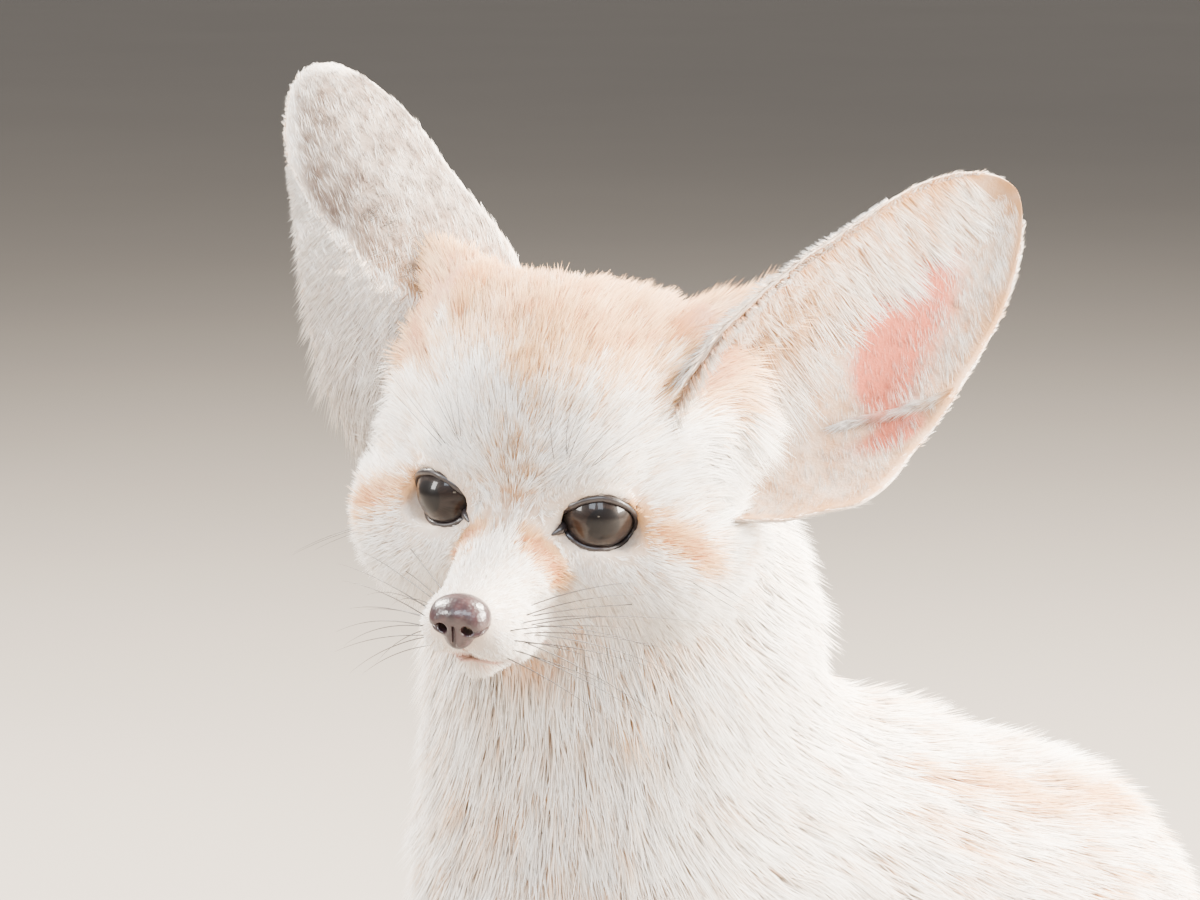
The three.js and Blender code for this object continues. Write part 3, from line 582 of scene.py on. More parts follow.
def lieOf(p, n):
    q = toHead(p)
    side = np.sign(q[:, :1])
    away = unit(q - noseTip) + np.array([0, 0.25, -0.1])
    away[:, 2] -= 0.5 * smooth(0, -14, q[:, 2]) + 0.7 * smooth(30, 58, q[:, 1])
    away[:, :1] += side * 0.25 * smooth(10, 26, q[:, 1])[:, None]
    sweep = patch(bothSides(q), *earLock)[:, None]
    lockLie = np.concatenate([side * 0.77, 0 * side + 0.1, 0 * side - 0.64], 1)
    away = mix(away, lockLie, np.minimum(sweep * 1.3, 1))
    for s in (1, -1):
        axes = eyeAxes(s)
        u, v, w = eyeCoords(q, s)
        parted = smooth(7, 0.5, almond(u, v)) * (w > -3)
        outwards = unit(u[:, None] * axes["long"] * 0.6 + v[:, None] * axes["high"])
        away = away + outwards * (parted * 1.6)[:, None]
    headLie = away @ headTurn.T
    front = smooth(20, -20, p[:, 1])
    bodyLie = np.stack([np.zeros(len(p)), 0.75 - 0.5 * front, -0.65 - 0.3 * front], 1)
    legs = smooth(78, 50, p[:, 2]) * smooth(24, 10, p[:, 1])
    bodyLie = mix(bodyLie, np.array([0, 0.05, -1.0]), legs[:, None])
    paws = smooth(22, 13, p[:, 2]) * smooth(100, 70, p[:, 1])
    bodyLie = mix(bodyLie, np.array([0, -1.0, -0.15]), paws[:, None])
    along, off, ahead = tailPlace(p)
    onTail = smooth(24, 14, off) * smooth(0.04, 0.1, along)
    bodyLie = mix(bodyLie, ahead, onTail[:, None])
    lie = mix(bodyLie, headLie, headness(p, q)[:, None])
    lie = lie - np.sum(lie * n, axis=1, keepdims=True) * n
    return unit(lie + 1e-4)


def coatAt(p):
    # Length, lift in degrees, width and how thickly the hair grows, for each root.
    q = toHead(p)
    onHead = headness(p, q)
    fromNose = np.linalg.norm(q - noseTip, axis=1)
    cheek = near(bothSides(q), (32, 34, -14), (14, 16, 16))
    lock = patch(bothSides(q), *earLock)
    headLength = (1.3 + 0.1 * fromNose) * (1 - 0.2 * smooth(20, 34, q[:, 2])) + 4 * cheek + 6 * lock
    for s in (1, -1):
        u, v, w = eyeCoords(q, s)
        headLength = headLength * mix(1, 0.35 + 0.65 * smooth(0.5, 9, almond(u, v)), w > -3)
    paws = smooth(24, 14, p[:, 2]) * smooth(112, 96, p[:, 1])
    legs = smooth(84, 52, p[:, 2]) * smooth(24, 10, p[:, 1])
    along, off, _ = tailPlace(p)
    onTail = smooth(24, 14, off) * smooth(0.02, 0.12, along)
    bodyLength = mix(12.5, 6.0, legs)
    bodyLength = mix(bodyLength, 3.6, paws)
    bodyLength = mix(bodyLength, 27, onTail)
    length = mix(bodyLength, headLength, onHead)
    lift = mix(mix(26, 16, np.maximum(legs, paws)), 14 + 0.12 * fromNose, onHead)
    lift = mix(lift, 24, onTail * (1 - onHead))
    width = mix(mix(mix(0.5, 0.4, np.maximum(legs, paws)), 1.1, onTail), 0.2 + 0.0034 * fromNose, onHead)
    thickness = mix(mix(mix(0.55, 0.75, np.maximum(legs, paws)), 1.5, onTail), 2.4 - 0.016 * fromNose, onHead)
    return length, lift, width, thickness


def rootsOn(points, quads, normals, thickness, count):
    tris = np.vstack([quads[:, [0, 1, 2]], quads[:, [0, 2, 3]]])
    a, b, c = (points[tris[:, k]] for k in range(3))
    area = np.linalg.norm(np.cross(b - a, c - a), axis=1) / 2
    weight = area * thickness[tris].mean(1)
    pick = np.searchsorted(np.cumsum(weight) / weight.sum(), random.random(count))
    r = random.random((count, 2))
    r = np.where(r.sum(1, keepdims=True) > 1, 1 - r, r)
    corners = np.stack([1 - r.sum(1), r[:, 0], r[:, 1]], 1)
    tri = tris[pick]
    roots = np.einsum("nk,nkd->nd", corners, points[tri])
    return roots, unit(np.einsum("nk,nkd->nd", corners, normals[tri]))


def clumped(roots, size):
    # Each root's clump: the middle of the roots in its cell, and a random way the clump leans.
    cell = np.floor(roots / size + random.random(3)).astype(int)
    _, inverse = np.unique(cell, axis=0, return_inverse=True)
    inverse = inverse.ravel()
    number = np.bincount(inverse)
    middle = np.stack([np.bincount(inverse, roots[:, k]) / number for k in range(3)], 1)
    leans = random.normal(0, 1, (len(number), 3))
    tone = random.random(len(number))
    return middle[inverse], leans[inverse], tone[inverse]


unfold = {"cell": (0.32, 0.48), "patch": 0.003}


def unfolded(roots, normals):
    # The roots' places on the skin, unfolded to six sides in one square.
    axis = np.argmax(np.abs(normals), axis=1)
    high = np.take_along_axis(normals, axis[:, None], 1)[:, 0] > 0
    low, span = roots.min(0), np.maximum(np.ptp(roots, axis=0), 1e-6)
    share = (roots - low) / span
    u = np.choose(axis, [share[:, 1], share[:, 0], share[:, 0]])
    v = np.choose(axis, [share[:, 2], share[:, 2], share[:, 1]])
    return np.stack([0.01 + (axis + u * 0.96) / 3 * 0.98, 0.01 + (high + v * 0.96) / 2 * 0.98], 1)


hairCount = 0


def growHairs(name, roots, normals, lie, length, lift, width, marks,
              steps=0, clump=5.0, gather=0.3, stray=0.12, sink=0.25, soft=True):
    # Three-sided solid hairs: a closed root, rings where the hair is long, and one tip.
    global hairCount
    n = len(roots)
    middle, lean, tone = clumped(roots, clump)
    length = length * random.uniform(0.75, 1.15, n)
    width = np.broadcast_to(width, n)
    lift = np.radians(lift * random.uniform(0.7, 1.3, n))
    across = unit(np.cross(normals, lie))
    across = across * np.where(random.random(n) < 0.5, 1, -1)[:, None]
    sway = random.normal(0, stray, n)[:, None] * across
    way = unit(lie + sway + lean * 0.09)
    shares = np.linspace(0, 1, steps + 2)[:-1]
    rings = []
    pull = (middle - roots)
    pull = pull - np.sum(pull * normals, axis=1, keepdims=True) * normals
    for share in [*shares, 1.0]:
        rise = np.sin(lift) * (share - (0.35 if steps else 0.2) * share**2)
        p = roots + way * (np.cos(lift) * share * length)[:, None] + normals * (rise * length - sink)[:, None]
        p = p + pull * gather * share + across * (0.05 * length * share**2)[:, None]
        rings.append(p)
    points = np.zeros((n, 3 * len(shares) + 1, 3))
    profile = ([1.0], [1.0, 0.75], [0.85, 1.0, 0.7])[steps]
    for k, p in enumerate(rings[:-1]):
        half = (width * profile[k] / 2)[:, None]
        points[:, 3 * k] = p + across * half
        points[:, 3 * k + 1] = p - across * half
        points[:, 3 * k + 2] = p + normals * half * 0.9
    points[:, -1] = rings[-1]
    # None goes through the floor.
    low = points[:, :, 2]
    points[:, :, 2] = np.where(low < 1.2, 0.2 + np.exp(np.minimum(low - 1.2, 0) / 4), low)
    handed = np.sum(np.cross(across, normals) * way, axis=1) < 0
    pattern = [(0, 2, 1)]
    for k in range(len(shares) - 1):
        for a, b in ((0, 1), (1, 2), (2, 0)):
            lo, hi = 3 * k, 3 * k + 3
            pattern += [(lo + a, lo + b, hi + b), (lo + a, hi + b, hi + a)]
    last, tip = 3 * (len(shares) - 1), 3 * len(shares)
    pattern += [(last + a, last + b, tip) for a, b in ((0, 1), (1, 2), (2, 0))]
    pattern = np.array(pattern)
    faces = np.where(handed[:, None, None], pattern[None], pattern[None, :, ::-1])
    size = points.shape[1]
    faces = (faces + (np.arange(n) * size)[:, None, None]).reshape(-1, 3)
    along = np.repeat(np.append(np.repeat(shares, 3), 1.0)[None], n, 0)
    pick = np.repeat((0.6 * tone + 0.4 * random.random(n))[:, None], size, 1)
    piece = meshObject(name, toModel(points.reshape(-1, 3)), faces)
    if soft:
        # Lit like the coat that they lie in, so that they don't glint one by one.
        leaning = np.append(np.tile([1.3, -1.3, 0.0], len(shares)), 0.0)
        shading = unit(normals[:, None] + across[:, None] * leaning[:, None])
        piece.data.normals_split_custom_set_from_vertices(shading.reshape(-1, 3))
    giveVector(piece, "marks", np.repeat(marks, size, 0))
    giveVector(piece, "root", toModel(np.repeat(roots, size, 0)))
    giveVector(piece, "strand", np.stack([along.ravel(), pick.ravel(), np.zeros(n * size)], 1))
    place = unfolded(roots, normals)
    corner = np.zeros((n, size, 2))
    turn = np.tile([0, 0.5, 1], len(shares))
    corner[:, :-1, 0] = turn * unfold["patch"]
    corner[:, -1, 0] = 0.5 * unfold["patch"]
    corner[:, :, 1] = along * unfold["patch"]
    uv = (place[:, None] + corner).reshape(-1, 2)
    layer = piece.data.uv_layers.new(name="OFBake")
    index = np.zeros(len(piece.data.loops), np.int32)
    piece.data.loops.foreach_get("vertex_index", index)
    layer.data.foreach_set("uv", np.ascontiguousarray(uv[index], np.float32).ravel())
    hairCount += n
    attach(piece, "root")
    return piece


print("growing the coat")
skinNormals = slopes(skinForm, skinPoints, 0.8)
skinCoat = coatAt(skinPoints)
skinHead = toHead(skinPoints)
onHeadPoints = headness(skinPoints, skinHead)
skinThick = skinCoat[3] * (skinPoints[:, 2] > 1.5)
for side in (1, -1):
    u, v, w = eyeCoords(skinHead, side)
    wedge = (np.abs(u + 8.4) < 2.4) & (np.abs(v + 1.1) < 1.3)
    skinThick = skinThick * np.where(((almond(u, v) < 1.5) | wedge) & (w > -2), 0, 1)
lipBand = (mouthGap(skinHead) < 0.55) & (skinHead[:, 1] < 0) & (onHeadPoints > 0.5)
skinThick = skinThick * np.where(lipBand, 0, 1)
skinThick = skinThick * (np.linalg.norm((skinHead - np.array([0, -31, -9.8])) / (6.6, 4.8, 5.6), axis=1) > 1)
tailAlong, tailOff, _ = tailPlace(skinPoints)
onTailPoints = (tailOff < 16) & (tailAlong > 0.07)

coatPieces = []
head = onHeadPoints > 0.5
front, high = skinPoints[:, 1] < 40, skinPoints[:, 2] > 90
low = ~high & ~onTailPoints
behindForelegs = skinPoints[:, 1] >= 30
body = ~head
upright = skinPoints[:, 2] > 150
crown = skinHead[:, 2] > -2
behindFace = skinHead[:, 1] >= 12
regions = {
    "coat_face": {"where": head & ~behindFace, "count": 45000, "clump": 1.6},
    "coat_crown": {"where": head & behindFace & crown, "count": 41000, "clump": 2.6},
    "coat_cheeks": {"where": head & behindFace & ~crown, "count": 35000, "clump": 3.2},
    "coat_neck": {"where": body & upright, "count": 42000, "clump": 4.5},
    "coat_chest": {"where": body & ~upright & high & front, "count": 42000, "clump": 5.0},
    "coat_back": {"where": body & ~upright & high & ~front, "count": 32000, "clump": 5.0},
    "coat_haunches": {"where": low & behindForelegs, "count": 19000, "clump": 5.0},
    "coat_legs": {"where": low & ~behindForelegs, "count": 14000, "clump": 3.0},
    "coat_tail": {"where": onTailPoints, "count": 6800, "steps": 2, "clump": 7.0},
}
for name, region in regions.items():
    keep = region["where"][skinQuads].mean(1) > 0.5
    roots, normals = rootsOn(skinPoints, skinQuads[keep], skinNormals, skinThick, region["count"])
    length, lift, width, _ = coatAt(roots)
    coatPieces.append(growHairs(name, roots, normals, lieOf(roots, normals), length, lift, width,
                                markings(roots), steps=region.get("steps", 0), clump=region["clump"]))
print("body hairs", hairCount)

# Hair on the ears: velvet and a white fringe on the backs, fine hair, a long band and a thin brown strip
# inside. Places along and across run as on the sheets, and r is random from 0 to 1. The aim is the hair's
# way towards the tip, the outer edge and off the sheet.
earHair = {
    "back": {
        "count": 11000, "along": (0.0, 0.985), "across": lambda a, r: 1.94 * r - 0.97,
        "out": -1, "lift": 12, "width": 0.22, "length": lambda a, c: 3.6 - 1.6 * a,
        "aim": lambda a, c: (1 + 0 * a, 0.2 * c, 0 * a)},
    "fringe": {
        "count": 4200, "along": (0.02, 0.74), "across": lambda a, r: -1 + r * (fringeLine(a) + 1.02),
        "out": -1, "lift": 15, "width": 0.26, "length": lambda a, c: 1.6 + 7 * smooth(0.72, 0.1, a),
        "aim": lambda a, c: (a - 0.95, -0.6 + 0 * a, 0 * a), "clump": 3.0, "soft": False},
    "inside": {
        "count": 8000, "along": (0.04, 0.97), "across": lambda a, r: 1.26 * r - 0.3,
        "out": 1, "lift": 10, "width": 0.16, "length": lambda a, c: 1.8 + 2.6 * c**2,
        "aim": lambda a, c: (0.5 + 0 * a, -0.8 * np.sign(c), 0 * a)},
    "band": {
        "count": 6000, "along": (0.0, 0.93),
        "across": lambda a, r: -0.99 + r * (0.75 + 0.5 * smooth(0.45, 0.1, a)),
        "out": 1, "lift": 12, "width": 0.24, "clump": 2.6,
        "length": lambda a, c: (17 - 10 * a) * (0.5 + 0.5 * smooth(-1, -0.8, c)),
        "aim": lambda a, c: (0.35 * a - 0.1, 1 + 0 * a, 0 * a)},
    "strip": {
        "count": 2400, "along": (0.02, 0.55), "across": lambda a, r: stripLine(a) + 0.3 * r - 0.15,
        "out": 1, "lift": 40, "width": 0.2, "stray": 0.7, "length": lambda a, c: 3.2 + 0 * a,
        "aim": lambda a, c: (0.3 + 0 * a, 1 + 0 * a, 0 * a)},
    "fold": {
        "count": 900, "along": (0.005, 0.03), "across": lambda a, r: 0.42 + 0.55 * r,
        "out": 1, "lift": 8, "width": 0.2, "length": lambda a, c: 4 + 0 * a,
        "aim": lambda a, c: (-0.9 + 0 * a, -0.4 + 0 * a, 0 * a)},
    "edge": {
        "count": 2600, "along": (0.02, 0.95), "across": lambda a, r: -1 + 0.12 * r,
        "out": 0.6, "lift": 25, "width": 0.26, "length": lambda a, c: 1.4 + 4.5 * smooth(0.75, 0.1, a),
        "aim": lambda a, c: (0.6 * a - 0.3, -0.7 + 0 * a, 0.2 + 0 * a), "soft": False},
    "rim": {
        "count": 2800, "along": (0.02, 0.965),
        "across": lambda a, r: np.sign(r - 0.35) * (1 - 0.08 * (r * 7 % 1)),
        "out": 0.4, "lift": 5, "width": 0.16, "length": lambda a, c: 2.4 - 0.6 * a,
        "aim": lambda a, c: (1 + 0 * a, 0.45 * c, 0 * a), "soft": False},
}


def earHairs(side, name, look):
    count = look["count"]
    a = random.uniform(*look["along"], count)
    c = np.clip(look["across"](a, random.random(count)), -1, 1)
    if name.startswith("coat_ear_fold"):
        a = a + foldLine(c)
    height = ear["thick"] / 2 * look["out"]
    roots = earPoint(side, a, c, height)
    n = unit(earPoint(side, a, c, height + 0.3 * np.sign(look["out"])) - roots)
    up = unit(earPoint(side, a + 0.01, c, height) - roots)
    out = unit(earPoint(side, a, c + 0.02, height) - roots)
    aims = look["aim"](a, c)
    lie = unit(sum(way * np.reshape(weight, (-1, 1)) for way, weight in zip((up, out, n), aims)))
    marks = markings(roots, np.stack([a, c, np.full(count, 2.0 * (look["out"] > 0))], 1))
    return growHairs(name, roots, n, lie, look["length"](a, c), look["lift"], look["width"], marks,
                     clump=look.get("clump", 1.8), gather=0.15, stray=look.get("stray", 0.1), sink=0.1,
                     soft=look.get("soft", True))


print("growing the ear hair")
for side, label in ((1, "left"), (-1, "right")):
    for name, look in earHair.items():
        coatPieces.append(earHairs(side, f"coat_ear_{name}_{label}", look))
print("hairs in all", hairCount)


# Tubes along a line, closed at both ends or in a loop: eye rims, eye corners, lips, whiskers and claws.
def tubes(name, lines, widths, sides=6, loop=False):
    points, faces = [], []
    for line, width in zip(lines, widths):
        line = np.asarray(line, float)
        ahead = unit(np.roll(line, -1, 0) - np.roll(line, 1, 0)) if loop else unit(np.gradient(line, axis=0))
        guide = np.array([0.31, 0.2, 0.93])
        across = unit(np.cross(ahead, guide))
        up = np.cross(across, ahead)
        turns = np.linspace(0, math.tau, sides, endpoint=False)
        width = np.broadcast_to(width, len(line))
        ring = (line[:, None] + (across[:, None] * np.cos(turns)[None, :, None]
                + up[:, None] * np.sin(turns)[None, :, None]) * width[:, None, None])
        start = sum(len(p) for p in points)
        number = start + np.arange(len(line) * sides).reshape(len(line), sides)
        for i in range(len(line) - (0 if loop else 1)):
            lo, hi = number[i], number[(i + 1) % len(line)]
            faces.append(np.stack([lo, np.roll(lo, -1), np.roll(hi, -1), hi], 1)[:, ::-1])
        points.append(ring.reshape(-1, 3))
        if not loop:
            first, last = number[0], number[-1]
            for k in range(1, sides - 1, 2):
                faces.append([[first[0], first[k], first[k + 1], first[(k + 2) % sides]]])
                faces.append([[last[0], last[(k + 2) % sides], last[k + 1], last[k]]])
    return meshObject(name, toModel(np.vstack(points)), np.vstack(faces))


def onSkin(q, out):
    # Move each head point along a way until it meets the skin.
    within, beyond = np.zeros(len(q)), np.full(len(q), 40.0)
    for _ in range(26):
        middle = (within + beyond) / 2
        inside = skinForm(fromHead(q + out * middle[:, None])) < 0
        within, beyond = np.where(inside, middle, within), np.where(inside, beyond, middle)
    return q + out * within[:, None]


print("eyes, lids, nose and mouth")
eyeLook = {"pupil": 0.42, "iris": 0.93, "bulge": 0.45}
eyePieces = []
for side, label in ((1, "left"), (-1, "right")):
    axes = eyeAxes(side)
    across, down = 48, 40
    tilt = np.concatenate([[0.0], math.pi * (np.arange(1, down) / down) ** 1.35])
    turns = np.linspace(0, math.tau, across, endpoint=False)
    t, s = np.meshgrid(tilt, turns, indexing="ij")
    radius = eye["radius"] + eyeLook["bulge"] * np.exp(-(t / 0.6) ** 2)
    local = np.stack([np.sin(t) * np.cos(s), np.sin(t) * np.sin(s), np.cos(t)], -1)
    q = axes["centre"] + (local * radius[..., None]) @ np.stack([axes["long"], axes["high"], axes["ahead"]])
    points = fromHead(q.reshape(-1, 3))
    number = np.arange(down * across).reshape(down, across)
    rings = zip(number[1:-1], number[2:])
    quads = [np.stack([lo, hi, np.roll(hi, -1), np.roll(lo, -1)], 1) for lo, hi in rings]
    centre, rear = number[0, 0], len(points)
    points = np.vstack([points, fromHead(axes["centre"] - axes["ahead"] * eye["radius"])[None]])
    local = np.vstack([local.reshape(-1, 3), [[0, 0, -1]]])
    body = np.vstack(quads)
    front = number[1]
    caps = [[centre, front[k], front[(k + 1) % across], front[(k + 1) % across]] for k in range(across)]
    last = number[-1]
    caps += [[rear, last[(k + 1) % across], last[k], last[k]] for k in range(across)]
    triangles = np.vstack([body[:, [0, 1, 2]], body[:, [0, 2, 3]], np.array(caps)[:, :3]])
    if np.linalg.det(np.stack([axes["long"], axes["high"], axes["ahead"]])) < 0:
        triangles = triangles[:, ::-1]
    used, triangles = np.unique(triangles, return_inverse=True)
    piece = meshObject("eye_ball_" + label, toModel(points[used]), triangles.reshape(-1, 3))
    giveVector(piece, "iris", local[used])
    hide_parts("eye_" + label)
    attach(piece, "root")
    eyePieces.append(piece)


def lidLine(side, count=72, margin=0.3, distance=0.4):
    axes = eyeAxes(side)
    turns = np.linspace(0, math.tau, count, endpoint=False)
    u0, v0 = np.cos(turns), np.sin(turns)
    scale = np.full(count, 4.0)
    for _ in range(30):
        step = almond(u0 * scale, v0 * scale) - margin
        scale -= step * 0.6
    u, v = u0 * scale, v0 * scale
    inner = smooth(0.8, 1.0, -u0)
    # The inner corner is drawn out towards the muzzle.
    u = u - 0.8 * inner
    v = v - 0.3 * inner
    r = eye["radius"] + distance
    w = np.sqrt(np.maximum(r * r - u * u - v * v, 4))
    return axes["centre"] + u[:, None] * axes["long"] + v[:, None] * axes["high"] + w[:, None] * axes["ahead"]


rimTurns = np.linspace(0, math.tau, 72, endpoint=False)
rimWidth = 0.55 + 0.45 * smooth(0.7, 1.0, -np.cos(rimTurns)) + 0.2 * smooth(0.3, 1.0, np.sin(rimTurns))
rimLines = [fromHead(lidLine(side)) for side in (1, -1)]
lids = tubes("eye_rims", rimLines, [rimWidth, rimWidth], sides=12, loop=True)

# The dark inner corner of each eye, drawn on the skin towards the muzzle.
cornerLines = []
for side in (1, -1):
    axes = eyeAxes(side)
    share = np.linspace(0, 1, 12)[:, None]
    line = axes["centre"] + axes["long"] * (-5.6 - 4.2 * share) + axes["high"] * (-1.2 - 1.6 * share)
    cornerLines.append(fromHead(onSkin(line, axes["ahead"])))
cornerWidth = 0.95 * (1 - np.linspace(0, 1, 12) ** 2) + 0.2
corners = tubes("eye_corners", cornerLines, [cornerWidth, cornerWidth], sides=10)

nose = {
    "top": ((0, -30.2, -7.9), (5.4, 4.6, 3.0)), "foot": ((0, -30.6, -12.2), (3.0, 3.6, 3.4)),
    "wing": ((3.3, -30.4, -9.6), (2.7, 4.0, 2.9)), "groove": 0.28, "step": 0.3,
}


def noseForm(q):
    d = blend(oval(*nose["top"])(q), oval(*nose["foot"])(q), 3)
    for side in (1, -1):
        (x, y, z), radii = nose["wing"]
        d = blend(d, oval((x * side, y, z), radii)(q), 1.4)
    for side in (1, -1):
        nostril = taper((2.3 * side, -31, -10.4), (2.9 * side, -36.5, -10.4), 0.9, 1.35)(q)
        slit = taper((3.2 * side, -34.6, -10.9), (5.8 * side, -31.2, -10.4), 0.75, 0.35)(q)
        d = -blend(-d, np.minimum(nostril, slit), 0.6)
    groove = np.maximum(np.abs(q[:, 0]) - nose["groove"], q[:, 1] + 33.4)
    return -blend(-d, np.maximum(groove, q[:, 2] + 9.6), 0.4)


noseGrid = [np.arange(low, high, nose["step"]) for low, high in ((-8, 8), (-37, -24), (-17.5, -3))]
nosePoints, noseFaces = surfaceOf(noseForm, *noseGrid, 1)
nosePiece = meshObject("nose_leather", toModel(fromHead(nosePoints)), noseFaces)
giveVector(nosePiece, "root", nosePoints * mm)
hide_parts("nose")

lipLines = []
for side in (1, -1):
    along = np.linspace(mouth["y"][0] + 1.5, mouth["y"][-1], 30)
    start = np.stack([np.zeros(30), along, np.interp(along, mouth["y"], mouth["z"]) - 0.45], 1)
    lipLines.append(onSkin(start, np.array([side, -0.1, 0.0])) - np.array([0.25 * side, 0, 0]))
cleft = np.stack([np.zeros(12), np.full(12, -22.0), np.linspace(-14.5, -19.4, 12)], 1)
lipLines.append(onSkin(cleft, np.array([0, -1.0, 0])) + np.array([0, 0.15, 0]))
lipWidth = 0.5 * np.sin(np.linspace(0.5, 2.9, 30))
lips = tubes("lips", [fromHead(line) for line in lipLines], [lipWidth, lipWidth, 0.32], sides=8)

# Whiskers, brow hairs, chin hairs and lashes.
whisker = {"rows": 4, "columns": 4, "length": (31, 42), "width": 0.13, "droop": 0.35}
hairLines, hairWidths = [], []


def bristle(root, way, droop, length, width):
    t = np.linspace(0, 1, 14)[:, None]
    line = root + way * (t * length) + np.asarray(droop) * (t**2 * length)
    hairLines.append(fromHead(line - way * 0.8))
    hairWidths.append(np.maximum(width * (1 - t[:, 0]) ** 0.7, 0.014))


for side in (1, -1):
    outward = np.array([side, -0.1, 0.0])
    for row in range(whisker["rows"]):
        for column in range(whisker["columns"]):
            if row + column == 6:
                continue
            q = np.array([[0, -25.0 + column * 3.4, -12.6 - row * 2.0 + 0.25 * column]])
            root = onSkin(q, outward)[0]
            rise = 0.24 - 0.2 * row + 0.05 * random.normal()
            way = unit(np.array([side * (0.85 - 0.07 * column), 0.2 + 0.15 * column, rise]))
            length = random.uniform(*whisker["length"]) * (0.62 + 0.13 * column)
            droop = -whisker["droop"] * random.uniform(0.7, 1.2)
            bristle(root, way, (0.0, 0.25, droop), length, whisker["width"])
    for k in range(8):
        start = np.array([[(8 + 0.9 * k + random.normal() * 0.5) * side, 4, 8.5 + random.normal()]])
        root = onSkin(start, unit(np.array([0.25 * side, -1, 0.9])))[0]
        fan = -0.15 + 0.13 * k
        way = unit(np.array([fan * side, -0.35, 0.95]))
        bristle(root, way, (0.3 * (fan + 0.5) * side, 0.45, 0.05), random.uniform(11, 26), 0.075)
    for k in range(3):
        root = onSkin(np.array([[27.0 * side, 8 + 3 * k, -12.0 - k]]), outward)[0]
        bristle(root, unit(np.array([side, -0.1, -0.4])), (0.0, 0.3, -0.2), random.uniform(12, 20), 0.08)
    for k in range(18):
        y = random.uniform(-22, 2)
        z = np.interp(y, mouth["y"], mouth["z"]) + random.uniform(-0.8, 1.6)
        root = onSkin(np.array([[0, y, z]]), outward)[0]
        bristle(root, unit(np.array([0.6 * side, 0.35, -0.7])), (0, 0.3, 0), random.uniform(2.5, 7), 0.05)
    lashes = lidLine(side, 72, 0.6, 0.75)
    axes = eyeAxes(side)
    high = lashes @ axes["high"] + lashes @ axes["long"] * 0.5
    for k in np.argsort(-high)[:30]:
        way = unit(axes["ahead"] * 0.7 + axes["high"] * 0.55 + axes["long"] * 0.6)
        bristle(lashes[k], way, axes["high"] * 0.2, random.uniform(1.8, 3.0), 0.07)
for k in range(7):
    chin = np.array([[random.uniform(-3, 3), random.uniform(-20, -12), -22.0]])
    root = onSkin(chin, np.array([0, -0.3, -1.0]))[0]
    way = unit(np.array([random.normal() * 0.3, -0.4, -1]))
    bristle(root, way, (0, 0.25, -0.1), random.uniform(5, 9), 0.07)
whiskers = tubes("whiskers", hairLines, hairWidths, sides=6)

# Claws at the end of every toe.
clawLines, clawWidths = [], []
for paw in (forepaw, hindpaw):
    for s in (1, -1):
        for dx, reach in zip(toeSpread, toeReach):
            y = paw["front"] + 5 - reach
            t = np.linspace(0, 1, 9)
            x = np.full(9, paw["x"] * s + dx)
            clawLines.append(np.stack([x, y - 2 - 8.2 * t, 6.0 - 0.6 * t - 3.2 * t**2], 1))
            clawWidths.append(1.25 * (1 - t) ** 0.75 + 0.08)
claws = tubes("claws", clawLines, clawWidths, sides=10)

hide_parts("head", "jaw", "neck", "torso", "rump", "thigh_left", "thigh_right",
            "foreleg_left", "foreleg_right", "hind_foot_left", "hind_foot_right",
            "tail_base", "tail_middle", "tail_tip", "ear_left", "ear_right")
for piece in (skin, nosePiece, lids, corners, lips, whiskers, claws):
    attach(piece, "root")


# Materials. The group hands out colours and a sand amount; the shaders stay in the materials.
print("materials")


def newGroup(name, inputs, outputs):
    group = bpy.data.node_groups.new(name, "ShaderNodeTree")
    for socket, kind, value in inputs:
        made = group.interface.new_socket(socket, in_out="INPUT", socket_type="NodeSocket" + kind)
        if value is not None:
            made.default_value = value
    for socket, kind in outputs:
        group.interface.new_socket(socket, in_out="OUTPUT", socket_type="NodeSocket" + kind)
    return group, group.nodes.new("NodeGroupInput"), group.nodes.new("NodeGroupOutput")


def addNode(tree, kind, settings=(), **inputs):
    node = tree.nodes.new("ShaderNode" + kind)
    for key, value in dict(settings).items():
        setattr(node, key, value)
    for key, value in inputs.items():
        socket = node.inputs[int(key[1:])] if key[0] == "i" and key[1:].isdigit() else node.inputs[key]
        if isinstance(value, bpy.types.NodeSocket):
            tree.links.new(value, socket)
        else:
            socket.default_value = value
    return node


def maths(tree, how, a, b=0.0, c=0.0, clamp=False):
    return addNode(tree, "Math", {"operation": how, "use_clamp": clamp}, i0=a, i1=b, i2=c).outputs[0]


def colourMix(tree, share, a, b, how="MIX"):
    settings = {"data_type": "RGBA", "blend_type": how, "clamp_factor": True}
    return addNode(tree, "Mix", settings, i0=share, i6=a, i7=b).outputs[2]


def remap(tree, value, low, high, start=0.0, end=1.0):
    settings = {"interpolation_type": "SMOOTHSTEP"}
    return addNode(tree, "MapRange", settings, i0=value, i1=low, i2=high, i3=start, i4=end).outputs[0]


def noise(tree, vector, scale, detail=2.0):
    return addNode(tree, "TexNoise", Vector=vector, Scale=scale, Detail=detail, Roughness=0.55).outputs[0]


